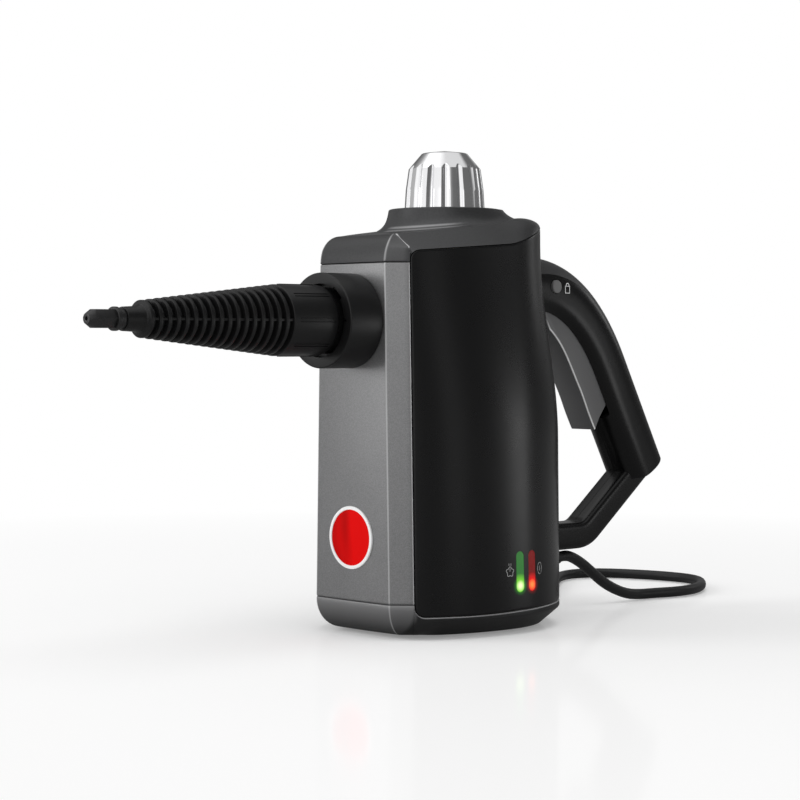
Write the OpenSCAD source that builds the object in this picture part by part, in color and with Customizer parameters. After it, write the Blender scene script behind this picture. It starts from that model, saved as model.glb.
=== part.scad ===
// Handheld pressurised steam cleaner with a twist-on jet nozzle.
// Millimetres, Z up, nozzle toward -Y, width along X, standing on z = 0.

/* [View] */
// Sub-part to draw, or all of them

/* [Body] */
// Greatest width of the body, low down
body_w = 123; // [118:1:128]
// Width of the body at the top
body_top_w = 102; // [99:1:105]
// Reach from the filler axis to the front face
body_front = 73.2; // [71:0.2:77]
// Reach from the filler axis to the rear wall at the foot
body_rear = 72.5; // [71:0.5:75]
// Reach from the filler axis to the rear wall at the top
body_top_rear = 60; // [59:0.5:62]
// Width of the flat front face at its top
face_w = 54; // [50:1:57]
// Width of the flat front face at its foot
face_foot_w = 61.3; // [58:0.5:64]
// Size of the bevel down each front corner
corner = 10; // [8:0.5:11]
// Height of the lower edge of the front cover
cover_low = 19.8; // [18:0.2:22]
// Height of the top edge of the front cover
cover_top = 210.3; // [207:0.1:213]
// Height of the lower edge of the side shells
shell_low = 12.8; // [11:0.2:14]
// Height of the top edge of the side shells at the front
shell_top = 217; // [215:0.5:219]
// Height of the deck on the filler axis
deck_h = 233.8; // [232:0.2:236]
// Slope of the deck, rising to the rear, degrees
deck_slope = 6.45; // [5:0.05:8]
// Thickness of the housing walls
wall = 2.6; // [2.2:0.1:3]
// Gap left along the seams of the housing
seam = 0.3; // [0.2:0.05:0.4]
// Height of the rubber feet
foot_h = 1.2; // [1:0.1:2]
// Diameter of the rubber feet
foot_d = 10; // [8:0.5:12]
// Diameter of the plain badge on the front cover
badge_d = 35; // [28:1:40]

/* [Filler and cap] */
// Height of the collar rim over the deck
collar_rise = 9.7; // [8.7:0.1:10.7]
// Diameter of the collar rim
collar_d = 66.2; // [64:0.2:70]
// Diameter of the cap skirt
cap_d = 48; // [46:0.5:50]
// Height of the crown of the cap over the collar rim
cap_rise = 34.5; // [33:0.5:40]
// Diameter of the cap's screw plug
plug_d = 22; // [18:0.5:24]
// Length of the screw plug in the filler neck
plug_len = 12; // [9:1:15]
// Number of flutes round the cap
flute_count = 16; // [12:1:20]

/* [Nozzle] */
// Height of the nozzle axis
nozzle_z = 178; // [174:1:181]
// Reach from the filler axis to the jet
nozzle_reach = 254.8; // [245:0.2:265]
// Diameter of the nozzle's grip section
nozzle_d = 39.3; // [38:0.1:40]
// Number of ribs along the nozzle cone
rib_count = 18; // [12:1:20]
// Diameter of the bezel that holds the nozzle
bezel_d = 53.5; // [52:0.5:56]
// Depth of the bezel in front of the cover
bezel_len = 24.5; // [23:0.5:26]
// Width across the flats of the jet
jet_af = 9.6; // [8:0.2:11]
// Bore of the jet
jet_bore = 2.3; // [1.5:0.1:3]

/* [Handle] */
// Width of the grip
grip_w = 31; // [29:0.5:33]
// Depth of the grip, front to back
grip_deep = 35.7; // [34:0.1:37]
// Height of the grip's root on the body
grip_z = 200; // [198:0.5:202]
// Lean of the grip from the upright, degrees
grip_lean = 29; // [27:0.5:31]
// Width of the lower arm
arm_w = 19; // [17:0.5:21]
// Depth of the lower arm
arm_deep = 16.9; // [15:0.1:18]
// Run of the grip's root before its bend
grip_root = 41.7; // [40:0.1:43]
// Run from the bend to the straight part
grip_bend = 57.1; // [55:0.1:59]
// Length of the straight part
grip_len = 71.6; // [69:0.1:74]
// Height of the lower arm's root
arm_z = 46; // [45:0.5:49]
// Width of the trigger
trigger_w = 17.2; // [15:0.2:18]
// Diameter of the cross-bolt that locks the trigger
lock_d = 8.5; // [7:0.1:9]

/* [Boiler] */
// Outer diameter of the boiler
boiler_d = 68; // [64:1:70]
// Thickness of the boiler walls
boiler_wall = 3; // [2.5:0.25:3.5]
// Height of the boiler's floor
boiler_low = 42; // [40:1:46]
// Height of the boiler's top
boiler_top = 190; // [187:0.5:190]

/* [Cord] */
// Diameter of the power cord
cord_d = 6.7; // [6:0.1:7]
// Turns of the coil in each of its two layers
coil_turns = 3.75; // [3.25:0.5:3.75]
// Radius of the outer turn of the coil
coil_r = 53.5; // [52:0.5:58]

/* [Hidden] */
$fn = 48;

// fits
run_fit = 0.05;
small_fit = 0.04;

// ---------- shared maths ----------
function mix(a, b, t) = a + (b - a) * t;
function ease(t) = let (u = min(1, max(0, t))) u * u * (3 - 2 * u);
function unit(v) = v / norm(v);
function flat(g) = [for (row = g) for (p = row) p];
function sgn_pow(v, e) = sign(v) * pow(abs(v), e);

// ---------- body outline at a height ----------
low_z = shell_low + 2.2;
high_z = shell_top + 8;
waist_z = mix(low_z, high_z, 0.4524);
waist_run = 0.5333 * (high_z - low_z);
function rise(z) = (z - low_z) / (high_z - low_z);
function waist(z) = 0.12 * rise(z) + 0.88 * ease((z - waist_z) / waist_run);
function half_w(z) = mix(body_w, body_top_w, (rise(z) + waist(z)) / 2) / 2;
function back_b(z) = mix(body_rear - 5, body_top_rear - 4, 1.37 * waist(z) - 0.37 * rise(z));
function mid_y(z) = 5 - waist(z);
function face_x(z) = mix(face_foot_w, face_w, (z - cover_low) / (cover_top - cover_low)) / 2;
function edge_x(z) = face_x(z) + corner;
function front_b(z) = (body_front - corner + mid_y(z)) / sqrt(1 - pow(edge_x(z) / half_w(z), 2));
function start_a(z) = -acos(edge_x(z) / half_w(z));
function side_b(z, a) = a < 0 ? front_b(z) : back_b(z);
function side_n(z, a) = unit([side_b(z, a) * cos(a), half_w(z) * sin(a)]);
function side_pt(z, a, inset) =
  [half_w(z) * cos(a), mid_y(z) + side_b(z, a) * sin(a)] - inset * side_n(z, a);
function crease_pt(z, inset) = [face_x(z) - inset * tan(22.5), -body_front + inset];
function corner_pt(z, inset) =
  let (n1 = [sqrt(0.5), -sqrt(0.5)], m = unit(n1 + side_n(z, start_a(z))))
  [edge_x(z), -body_front + corner] - m * inset / (m * n1);
function rear_y(x, z) = mid_y(z) + back_b(z) * sqrt(1 - pow(x / half_w(z), 2));

// top edge of the side shells, by the distance to the rear
function shell_rim(y) = shell_top + 5 + (y < 4 ? 0.077 : 0.167) * (y - 4);
function deck_z(y) = deck_h + tan(deck_slope) * y;
collar_h = deck_h + collar_rise;
cap_top = collar_h + cap_rise;

// ---------- helpers ----------
module here() translate([0, shift_y, 0]) children();
module rod_x(x0, x1, r, y, z) translate([x0, y, z]) rotate([0, 90, 0]) cylinder(h = x1 - x0, r = r);
module rod_y(y0, y1, r, x, z) translate([x, y0, z]) rotate([-90, 0, 0]) cylinder(h = y1 - y0, r = r);
module rod_z(z0, z1, r, x = 0, y = 0) translate([x, y, z0]) cylinder(h = z1 - z0, r = r);
module ring_z(z0, z1, ro, ri) {
  rotate_extrude() translate([ri, z0]) square([ro - ri, z1 - z0]);
}
// plate standing across the width, outline given as [y, z]
module side_plate(x0, x1, pts) {
  translate([x0, 0, 0]) rotate([90, 0, 90]) linear_extrude(x1 - x0) polygon(pts);
}
// turned part on the nozzle axis, outline given as [radius, reach]
module on_axis() translate([0, 0, nozzle_z]) rotate([90, 0, 0]) children();
module turned(pts) on_axis() rotate_extrude() polygon(pts);
module hexagon(af) circle(r = af / sqrt(3), $fn = 6);

// closed loops stacked into one skin, capped at both ends or joined round
module loft(rings, wrap = false) {
  n = len(rings[0]);
  m = len(rings);
  last = wrap ? m - 1 : m - 2;
  sides = [for (i = [0:last]) for (j = [0:n - 1])
    let (k = (j + 1) % n, u = (i + 1) % m)
    for (f = [[i * n + j, u * n + j, u * n + k], [i * n + j, u * n + k, i * n + k]]) f];
  ends = wrap ? [] : [for (j = [0:n - 1]) let (k = (j + 1) % n)
    for (f = [[m * n, j, k], [m * n + 1, (m - 1) * n + k, (m - 1) * n + j]]) f];
  hubs = wrap ? [] : [centre(rings[0]), centre(rings[m - 1])];
  polyhedron(points = concat(flat(rings), hubs), faces = concat(sides, ends), convexity = 8);
}
function centre(ring) = [for (k = [0:2]) sum([for (p = ring) p[k]]) / len(ring)];
function sum(v, i = 0) = i >= len(v) ? 0 : v[i] + sum(v, i + 1);

// curved wall between an outer and an inner grid of points
function quad(w, x, y, z, flip) = flip ? [[w, y, x], [w, z, y]] : [[w, x, y], [w, y, z]];
module slab(a, b, flip = false) {
  n = len(a);
  m = len(a[0]);
  c = n * m;
  cells = [for (i = [0:n - 2]) for (j = [0:m - 2]) let (p = i * m + j)
    for (f = concat(quad(p, p + m, p + m + 1, p + 1, flip),
      quad(c + p, c + p + 1, c + p + m + 1, c + p + m, flip))) f];
  rows = [for (i = [0:n - 2]) let (p = i * m, q = i * m + m - 1)
    for (f = concat(quad(p + m, p, c + p, c + p + m, flip),
      quad(q, q + m, c + q + m, c + q, flip))) f];
  cols = [for (j = [0:m - 2]) let (p = j, s = (n - 1) * m + j)
    for (f = concat(quad(p, p + 1, c + p + 1, c + p, flip),
      quad(s + 1, s, c + s, c + s + 1, flip))) f];
  polyhedron(points = concat(flat(a), flat(b)), faces = concat(cells, rows, cols), convexity = 8);
}

// round tube along a list of points
function heading(path, i) =
  let (n = len(path) - 1) unit(path[min(n, i + 1)] - path[max(0, i - 1)]);
function square_to(s, t) = unit(s - (s * t) * t);
function sides_of(path, start) = let (n = len(path))
  [for (i = 0, s = square_to(start, heading(path, 0)); i < n;
    i = i + 1, s = i < n ? square_to(s, heading(path, i)) : s) s];
function tube_rings(path, r, n, start) = let (sv = sides_of(path, start))
  [for (i = [0:len(path) - 1]) let (t = heading(path, i), u = cross(sv[i], t))
    [for (j = [0:n - 1]) path[i] + r * (cos(360 * j / n) * u + sin(360 * j / n) * sv[i])]];
module tube(path, r, n, start = [0, 0, 1]) {
  rings = tube_rings(path, r, n, start);
  m = len(path);
  sides = [for (i = [0:m - 2]) for (j = [0:n - 1]) let (k = (j + 1) % n)
    for (f = [[i * n + j, (i + 1) * n + j, (i + 1) * n + k],
      [i * n + j, (i + 1) * n + k, i * n + k]]) f];
  ends = [for (j = [1:n - 2]) for (f = [[0, j, j + 1],
    [(m - 1) * n, (m - 1) * n + j + 1, (m - 1) * n + j]]) f];
  polyhedron(points = flat(rings), faces = concat(sides, ends), convexity = 8);
}
// open coil spring standing on the origin along +Z
module spring(r, wire, len, turns) {
  steps = ceil(turns * 12);
  tube([for (i = [0:steps]) let (a = 360 * turns * i / steps)
    [r * cos(a), r * sin(a), wire + (len - 2 * wire) * i / steps]], wire, 6);
}
// smooth line through chosen points
function spline(p, i, t) = let (n = len(p) - 1, a = p[max(0, i - 1)], b = p[i],
  c = p[min(n, i + 1)], d = p[min(n, i + 2)])
  0.5 * (2 * b + (c - a) * t + (2 * a - 5 * b + 4 * c - d) * t * t
    + (3 * b - a - 3 * c + d) * t * t * t);
function smooth(p, k) = concat([for (i = [0:len(p) - 2]) for (j = [0:k - 1]) spline(p, i, j / k)],
  [p[len(p) - 1]]);

// ---------- housing ----------
cols = 20;
rows = 13;
function shell_a(z, j) = mix(start_a(z) + 0.35, 90 - asin(seam / 2 / half_w(z)), j / cols);
function shell_y(j) = side_pt(shell_top, shell_a(shell_top, j), 0)[1];
function shell_foot(j) = shell_low + 2 * ease((shell_y(j) + 30) / 80);
function shell_grid(inset) = [for (i = [0:rows]) [for (j = [0:cols])
  let (z = mix(shell_foot(j), shell_rim(shell_y(j)), i / rows),
    p = side_pt(z, shell_a(z, j), inset)) [max(seam / 2, p[0]), p[1], z]]];

relief_z = 31.4;
relief_tilt = 3;
rod_z_at = grip_z + 1;
rod_head = 3;
arm_hole = 6.2;
module shell_half() {
  difference() {
    slab(shell_grid(0), shell_grid(wall));
    rod_y(body_top_rear - 8, body_top_rear + 8, rod_head + 0.4, 0, rod_z_at);
    translate([0, body_rear, relief_z]) rotate([relief_tilt - 90, 0, 0])
      cylinder(h = 30, r = relief_neck + 0.3, center = true);
  }
}
// lamp windows in the right shell
lamp_low = boiler_low - 18.4;
lamp_high = lamp_low + 23.4;
lamp_w = 6.2;
lamp_y = [0.9, 10.9];
module pill(x0, x1, y, w, z0, z1) hull() for (z = [z0 + w / 2, z1 - w / 2]) rod_x(x0, x1, w / 2, y, z);
module lamp_slots() for (y = lamp_y)
  pill(body_w / 2 - 12, body_w / 2 + 4, y, lamp_w, lamp_low, lamp_high);
module right_shell() color([0.09, 0.09, 0.10]) here() difference() {
  shell_half();
  lamp_slots();
}
module left_shell() color([0.09, 0.09, 0.10]) here() mirror([1, 0, 0]) shell_half();

// plain front cover with its two bevels
outlet_hole = 7.2;
function cover_row(z, inset) = let (a = crease_pt(z, inset), b = corner_pt(z, inset))
  [[-b[0], b[1], z], [-a[0], a[1], z], [a[0], a[1], z], [b[0], b[1], z]];
module front_cover() color([0.50, 0.50, 0.51]) here() difference() {
  slab([cover_row(cover_low, 0), cover_row(cover_top, 0)],
    [cover_row(cover_low, wall), cover_row(cover_top, wall)]);
  rod_y(-body_front - 5, -body_front + 8, outlet_hole, 0, nozzle_z);
}
module badge() color([0.42, 0.42, 0.43]) here()
  translate([0, -body_front, badge_z]) rotate([90, 0, 0]) {
    cylinder(h = 0.8, d = badge_d);
    rotate_extrude() translate([badge_d / 2 - 1.4, 0.8]) square([1.4, 0.5]);
  }
badge_z = 55;

// base tray: round front edge, straight bevel round the rest
base_n = 18;
base_cut = 11;
base_round = 14.5;
base_gap = seam;
function base_f(t) = [base_round * (1 - sin(90 * t)),
  foot_h + (cover_low - base_gap - foot_h) * (1 - cos(90 * t))];
function base_s(t, j) = [base_cut * (1 - t),
  foot_h + (shell_foot(j * cols / base_n) - base_gap - foot_h) * t];
function base_half(t, extra, drop) =
  let (f = base_f(t), z = f[1] + drop, a = crease_pt(z, f[0] + extra), b = corner_pt(z, f[0] + extra))
  concat([[a[0], a[1], z], [b[0], b[1], z]],
    [for (j = [0:base_n]) let (s = base_s(t, j), zz = s[1] + drop,
      p = side_pt(zz, mix(start_a(zz), 90, j / base_n), s[0] + extra)) [p[0], p[1], zz]]);
function round_trip(h) = concat(h, [for (i = [len(h) - 2:-1:0]) [-h[i][0], h[i][1], h[i][2]]]);
leg_at = (boiler_d / 2 + 7) * [0.5, sqrt(0.75)];
leg_r = 5;
boss_top = foot_h + 5.8;
module at_legs() for (x = [-1, 1]) for (y = [-1, 1]) translate([x * leg_at[0], y * leg_at[1], 0]) children();
module base_shell() color([0.46, 0.46, 0.47]) here() difference() {
  union() {
    loft(concat([for (k = [0:5]) round_trip(base_half(k / 5, 0, 0))],
      [round_trip(base_half(1, wall, 0)), round_trip(base_half(0, wall, wall))]));
    at_legs() rod_z(foot_h + 1, boss_top, 6);
  }
  at_legs() {
    rod_z(foot_h - 1, foot_h + 3, 3.6);
    rod_z(foot_h - 1, boss_top + 1, 2.1);
  }
}
foot_at = [30, 26];
module feet() color([0.05, 0.05, 0.05]) here()
  for (x = [-1, 1]) for (y = [-1, 1]) rod_z(0, foot_h, foot_d / 2, x * foot_at[0], y * foot_at[1]);
module housing_screws() color([0.7, 0.7, 0.72]) here() at_legs() {
  rod_z(foot_h + 0.6, foot_h + 3, 3.3);
  rod_z(foot_h + 3, foot_h + 17, 1.9);
}

// top shell: rounded front, sloping bands at the sides, flat deck, collar
top_n = 22;
deck_edge = 42.5;
deck_tip = [18.5, -body_front + 15];
deck_front_b = (4 - deck_tip[1]) / sqrt(1 - pow(deck_tip[0] / deck_edge, 2));
deck_back_b = body_top_rear - 14;
function deck_start() = -acos(deck_tip[0] / deck_edge);
function deck_pt(a, inset) = let (b = a < 0 ? deck_front_b : deck_back_b)
  [deck_edge * cos(a), 4 + b * sin(a)] - inset * unit([b * cos(a), deck_edge * sin(a)]);
function lift3(p, z) = [p[0], p[1], z];
function on_deck(p, drop) = [p[0], p[1], deck_z(p[1]) - drop];
top_z = cover_top + seam;
function top_side(j) = mix(start_a(shell_top), 90, j / top_n);
function top_low(j, inset) = let (y = side_pt(shell_top, top_side(j), 0)[1], z = shell_rim(y) + seam)
  lift3(side_pt(z, mix(start_a(z), 90, j / top_n), inset), z);
function top_high(j, inset, drop) = on_deck(deck_pt(mix(deck_start(), 90, j / top_n), inset), drop);
function tip_pt(k, inset, drop) = on_deck([deck_tip[0] - 0.4 * k - inset * 0.4, deck_tip[1] - 0.6 * k + inset], drop);
function bend(p, q, u, w, v) = [mix(p[0], q[0], w), mix(p[1], q[1], u), mix(p[2], q[2], v)];
function top_half(t) = let (v = sin(90 * t), u = 1 - cos(90 * t), g = max(0, (v - 0.44) / 0.56),
  h = max(0.2 * t, g), a = lift3(crease_pt(top_z, 0), top_z), b = lift3(corner_pt(top_z, 0), top_z))
  concat([bend(a, tip_pt(2, 0, 0), u, pow(v, 1.3), v), bend(b, tip_pt(1, 0, 0), g, g, v)],
    [for (j = [0:top_n]) mix(top_low(j, 0), top_high(j, 0, 0), h)]);
function top_inner(t) = t < 1
  ? concat([lift3(crease_pt(top_z, wall), top_z), lift3(corner_pt(top_z, wall), top_z)],
    [for (j = [0:top_n]) top_low(j, wall)])
  : concat([tip_pt(2, wall, wall), tip_pt(1, wall, wall)],
    [for (j = [0:top_n]) top_high(j, wall, wall)]);
well_r = collar_d / 2 - 7.1;
hole_r = collar_d / 2 - 0.6;
function deck_hole(drop) = [for (p = top_half(1)) on_deck(hole_r * unit([p[0], p[1]]), drop)];
neck_r = plug_d / 2 + 4;
neck_flange = neck_r + 4;
well_z = collar_h - 13.5;
module top_shell() color([0.26, 0.26, 0.27]) here() union() {
  loft(concat([for (k = [0:5]) round_trip(top_half(k / 5))],
    [round_trip(deck_hole(0)), round_trip(deck_hole(wall)),
      round_trip(top_inner(1)), round_trip(top_inner(0))]), wrap = true);
  rotate_extrude($fn = 96) polygon([[neck_r + 0.5, well_z - wall], [well_r + wall, well_z - wall],
    [well_r + wall, collar_h - wall], [collar_d / 2 - 1.6, collar_h - wall],
    [collar_d / 2 + 0.9, collar_h - 6.5], [collar_d / 2 + 3, collar_h - 9.4],
    [collar_d / 2 + 6, collar_h - 13], [collar_d / 2 + 9, collar_h - 15.9],
    [collar_d / 2 + 11.4, collar_h - 15.1], [collar_d / 2 + 8.6, collar_h - 12.5],
    [collar_d / 2 + 5.8, collar_h - 9.2], [collar_d / 2 + 3.9, collar_h - 5.5],
    [collar_d / 2 + 1.5, collar_h - 1.6], [collar_d / 2, collar_h],
    [well_r, collar_h], [well_r, well_z], [neck_r + 0.5, well_z]]);
}

// bezel round the outlet: open mouth, lip, chamber for the bayonet lugs
bz0 = body_front + 0.1;
bz1 = body_front + bezel_len;
lug_r = nozzle_d / 2 + 1.2;
barrel_r = nozzle_d / 2 - 1.5;
lip_f = bz0 + 16;
module bezel() color([0.07, 0.07, 0.07]) here() difference() {
  turned([[outlet_hole, bz0], [bezel_d / 2, bz0], [bezel_d / 2 - 0.2, bz1 - 1.6],
    [bezel_d / 2 - 1.3, bz1], [lug_r + 1.6, bz1 - 1.4], [lug_r + 0.6, lip_f + 3.2],
    [barrel_r + 0.4, lip_f + 3], [barrel_r + 0.4, lip_f], [lug_r + 0.4, lip_f],
    [lug_r + 0.4, bz0 + 8], [outlet_hole, bz0 + 8]]);
  for (a = [45, 225]) on_axis() rotate([0, 0, a]) translate([barrel_r - 2, -4.4, lip_f - 1])
    cube([lug_r - barrel_r + 2.4, 8.8, 8]);
}

// ---------- lamps ----------
module lens(y) {
  x1 = half_w(lamp_low);
  x2 = half_w(lamp_high);
  intersection() {
    pill(body_w / 2 - 8, body_w / 2 + 4, y, lamp_w - 0.3, lamp_low + 0.15, lamp_high - 0.15);
    translate([0, y + lamp_w, 0]) rotate([90, 0, 0]) linear_extrude(2 * lamp_w)
      polygon([[0, lamp_low], [x1 - 0.2, lamp_low], [x2 - 0.2, lamp_high], [0, lamp_high]]);
  }
}
module green_lens() color([0.15, 0.75, 0.25]) here() lens(lamp_y[0]);
module red_lens() color([0.80, 0.12, 0.10]) here() lens(lamp_y[1]);
module lamp_board() color([0.10, 0.35, 0.18]) here() {
  translate([body_w / 2 - 11.5, lamp_y[0] - 6, lamp_low - 3])
    cube([1.6, lamp_y[1] - lamp_y[0] + 12, lamp_high - lamp_low + 6]);
  for (y = lamp_y) rod_x(body_w / 2 - 10, body_w / 2 - 8.2, 1.5, y, lamp_low + 6);
}

// ---------- handle ----------
grip_dir = [sin(grip_lean), -cos(grip_lean)];
grip_p0 = [body_top_rear + 6, grip_z];
grip_p1 = grip_p0 + [grip_root, 0];
grip_p2 = grip_p1 + grip_bend * grip_dir;
grip_end = grip_p2 + grip_len * grip_dir;
function bez(a, b, c, t) = (1 - t) * (1 - t) * a + 2 * t * (1 - t) * b + t * t * c;
function bez_dir(a, b, c, t) = unit((1 - t) * (b - a) + t * (c - b));
function out_of(d) = [-d[1], d[0]];
// stations along the grip: centre and heading
grip_line = concat([for (k = [1:11]) let (t = k / 11)
    [bez(grip_p0, grip_p1, grip_p2, t), bez_dir(grip_p0, grip_p1, grip_p2, t)]],
  [for (k = [1:3]) [grip_p2 + grip_dir * grip_len * k / 4, grip_dir]]);
grip_n = 13;
shell_t = 2.3;
function oval(t, a, h, n) = [a * sgn_pow(cos(t), 2 / n), h * sgn_pow(sin(t), 2 / n)];
function grip_sec(t, inset) = oval(t, grip_w / 2 - inset, grip_deep / 2 - inset, 3.5);
function at_station(s, q) = let (p = s[0] + q[1] * out_of(s[1])) [max(seam / 2, q[0]), p[0], p[1]];
function at_wall(q, z0, gap) = let (x = max(seam / 2, q[0])) [x, rear_y(x, z0 + q[1]) + gap, z0 + q[1]];
// curved lower end of the grip
function rim_z(y) = grip_end[1] - 9.4 + 13 * pow((y - grip_end[0] + 21) / 39.4, 2);
function rim_run(p, k = 0, r = 0) = k > 4 ? r
  : rim_run(p, k + 1, (rim_z(p[0] + r * grip_dir[0]) - p[1]) / grip_dir[1]);
function at_rim(q, back) = let (p = grip_end + q[1] * out_of(grip_dir), r = rim_run(p) - back,
  e = p + r * grip_dir) [max(seam / 2, q[0]), e[0], e[1]];
// edge of the spine trim, as a section angle at each station
spine_last = 8;
function spine_t(i) = i <= 6 ? 17 + 16 * i / 6 : i == 7 ? 52 : 76;
function half_top(i) = i <= spine_last ? spine_t(i) : 90;
function grip_row(i, t, inset) = let (q = grip_sec(t, inset))
  i == 0 ? at_wall(q, grip_z, seam) : i <= 14 ? at_station(grip_line[i - 1], q)
    : i == 15 ? at_rim(q, inset > 0 ? 3 : 0.2)
    : at_rim(inset > 0 ? [q[0] * 0.68, q[1] * 0.9] : [q[0] * 0.985, q[1] * 0.985], 0);
function grip_grid(inset) = [for (i = [0:16]) [for (j = [0:grip_n])
  grip_row(i, mix(-90, half_top(i), j / grip_n), inset)]];
// lower arm
arm_p0 = [body_rear + 25.5, arm_z];
arm_p1 = arm_p0 + [18.9, 0];
arm_slope = 38;
arm_dir = [cos(arm_slope), sin(arm_slope)];
arm_end = grip_end - 13 * arm_dir;
arm_p2 = arm_p1 + arm_dir * (((arm_end - arm_p1) * arm_dir) - 32);
arm_line = concat([[[body_rear + 12, arm_z], [1, 0]], [arm_p0, [1, 0]]],
  [for (k = [1:5]) [bez(arm_p0, arm_p1, arm_p2, k / 5), bez_dir(arm_p0, arm_p1, arm_p2, k / 5)]],
  [[arm_end, arm_dir]]);
function arm_sec(t, inset) = oval(t, arm_w / 2 - inset, arm_deep / 2 - inset, 6);
function arm_grid(inset) = [for (i = [0:len(arm_line)]) [for (j = [0:8])
  let (q = arm_sec(mix(-90, 90, j / 8), inset))
  i == 0 ? at_wall(q, arm_z, seam) : at_station(arm_line[i - 1], q)]];

// trigger and its pivot
pivot = [body_top_rear + 16, grip_z - 11];
pin_r = 1.5;
lock_at = [pivot[0] + 3.6, grip_z - 0.4];
lock_r = lock_d / 2 - 0.25;
// points along the grip by distance down from the root and depth from the inner face
function grip_at(down, deep) = grip_p2 + grip_dir * down + out_of(grip_dir) * (deep - grip_deep / 2);
slot_pts = [[pivot[0] - 7, grip_z - 30], [pivot[0] - 7, grip_z - grip_deep / 2 + 6],
  [pivot[0] + 15, grip_z - grip_deep / 2 + 3], grip_at(-34, 9.5), grip_at(-5, 8),
  grip_at(33, 8), grip_at(37, 2), grip_at(38, -20)];
lug_y = [pivot[0] - 8.5, pivot[0] - 4.5];
screw_at = [grip_at(44, grip_deep / 2), [grip_p0[0] + 33, grip_z - 3]];
module handle_half(side) {
  difference() {
    union() {
      slab(grip_grid(0), grip_grid(shell_t), flip = true);
      slab(arm_grid(0), arm_grid(2), flip = true);
      rod_x(trigger_w / 2 + 0.4, grip_w / 2 - 2.4, 4, pivot[0], pivot[1]);
      for (p = screw_at) rod_x(seam / 2, grip_w / 2 - 2, 4.4, p[0], p[1]);
    }
    rod_x(0, grip_w / 2 - 2.9, pin_r + 0.02, pivot[0], pivot[1]);
    rod_x(0, grip_w, lock_d / 2 + 0.1, lock_at[0], lock_at[1]);
    side_plate(-1, trigger_w / 2 + 0.4, slot_pts);
    for (p = screw_at) if (side > 0) rod_x(-1, grip_w / 2 - 5, 1.5, p[0], p[1]);
      else {
        rod_x(-1, grip_w, 1.7, p[0], p[1]);
        rod_x(grip_w / 2 - 6, grip_w, 3, p[0], p[1]);
      }
  }
}
module handle_right() color([0.08, 0.08, 0.08]) here() handle_half(1);
module handle_left() color([0.08, 0.08, 0.08]) here() mirror([1, 0, 0]) handle_half(-1);
function full_station(i, t, inset) = let (q = grip_sec(t, inset), y = i == 0
  ? [rear_y(q[0], grip_z + q[1]) + seam, grip_z + q[1]]
  : grip_line[i - 1][0] + q[1] * out_of(grip_line[i - 1][1])) [q[0], y[0], y[1]];
function spine_grid(inset) = [for (i = [0:spine_last]) [for (j = [0:12])
  let (e = spine_t(i) + 0.8) full_station(i, mix(e, 180 - e, j / 12), inset)]];
module handle_spine() color([0.30, 0.30, 0.31]) here()
  slab(spine_grid(0), spine_grid(shell_t), flip = true);
module handle_screws() color([0.7, 0.7, 0.72]) here() for (p = screw_at) {
  rod_x(-grip_w / 2 + 3.2, -grip_w / 2 + 5.9, 2.8, p[0], p[1]);
  rod_x(-grip_w / 2 + 5.9, grip_w / 2 - 6, 1.48, p[0], p[1]);
}

// trigger: channel with a proud front, pivot eye, push-rod lug and lock finger
lower = grip_at(40.2, -11);
front_pts = [[pivot[0] + 4.4, pivot[1] - 15.9], [pivot[0] + 8, pivot[1] - 18.3],
  [pivot[0] + 12.4, pivot[1] - 21.7], [pivot[0] + 20.6, pivot[1] - 33.6],
  [pivot[0] + 28.3, pivot[1] - 46.4], [pivot[0] + 34, pivot[1] - 56],
  [pivot[0] + 39.7, pivot[1] - 67], [pivot[0] + 45.1, pivot[1] - 76.2]];
tip_pts = [[pivot[0] + 45.1, pivot[1] - 76.2], [pivot[0] + 50, pivot[1] - 70.5],
  [pivot[0] + 55.1, pivot[1] - 63.8], [pivot[0] + 58.4, pivot[1] - 59]];
back_pts = [[pivot[0] + 49, pivot[1] - 41.5], [pivot[0] + 33, pivot[1] - 16.5],
  [pivot[0] + 21, pivot[1] - 6], [pivot[0] + 10, pivot[1] - 1], [pivot[0] + 3.5, pivot[1] + 3.5],
  [pivot[0] - 3.6, pivot[1] + 2.5], [pivot[0] - 4, pivot[1] - 3], [pivot[0] + 0.5, pivot[1] - 8]];
function inward(p) = [for (i = [0:len(p) - 1]) let (d = heading(p, i)) p[i] - 2.4 * [d[1], -d[0]]];
finger_y = lock_at[0] + lock_r + 1.6;
module trigger() color([0.36, 0.36, 0.37]) here() difference() {
  union() {
    for (x = [-trigger_w / 2, trigger_w / 2 - 2]) side_plate(x, x + 2, concat(front_pts, tip_pts, back_pts));
    side_plate(-trigger_w / 2, trigger_w / 2, concat(front_pts, [for (i = [7:-1:0]) inward(front_pts)[i]]));
    rod_x(-trigger_w / 2, trigger_w / 2, 4, pivot[0], pivot[1]);
    side_plate(-3, 3, [[pivot[0] - 3.9, pivot[1]], [pivot[0] + 3.9, pivot[1]],
      [lug_y[1], rod_z_at + 1.8], [lug_y[0], rod_z_at + 1.8], [lug_y[0], pivot[1] + 6]]);
    side_plate(-trigger_w / 2, trigger_w / 2, [[finger_y - 2, pivot[1] - 2], [finger_y + 4, pivot[1] - 3.8],
      [finger_y + 4, pivot[1] + 1], [finger_y, pivot[1] + 2]]);
    side_plate(-2.4, 2.4, [[finger_y, pivot[1] - 2], [finger_y + 4, pivot[1] - 3.5],
      [finger_y + 4, lock_at[1] + 2], [finger_y, lock_at[1] + 2]]);
  }
  rod_x(-trigger_w, trigger_w, pin_r + small_fit, pivot[0], pivot[1]);
}
module trigger_pin() color([0.75, 0.75, 0.77]) here()
  rod_x(-grip_w / 2 + 3, grip_w / 2 - 3, pin_r, pivot[0], pivot[1]);
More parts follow.
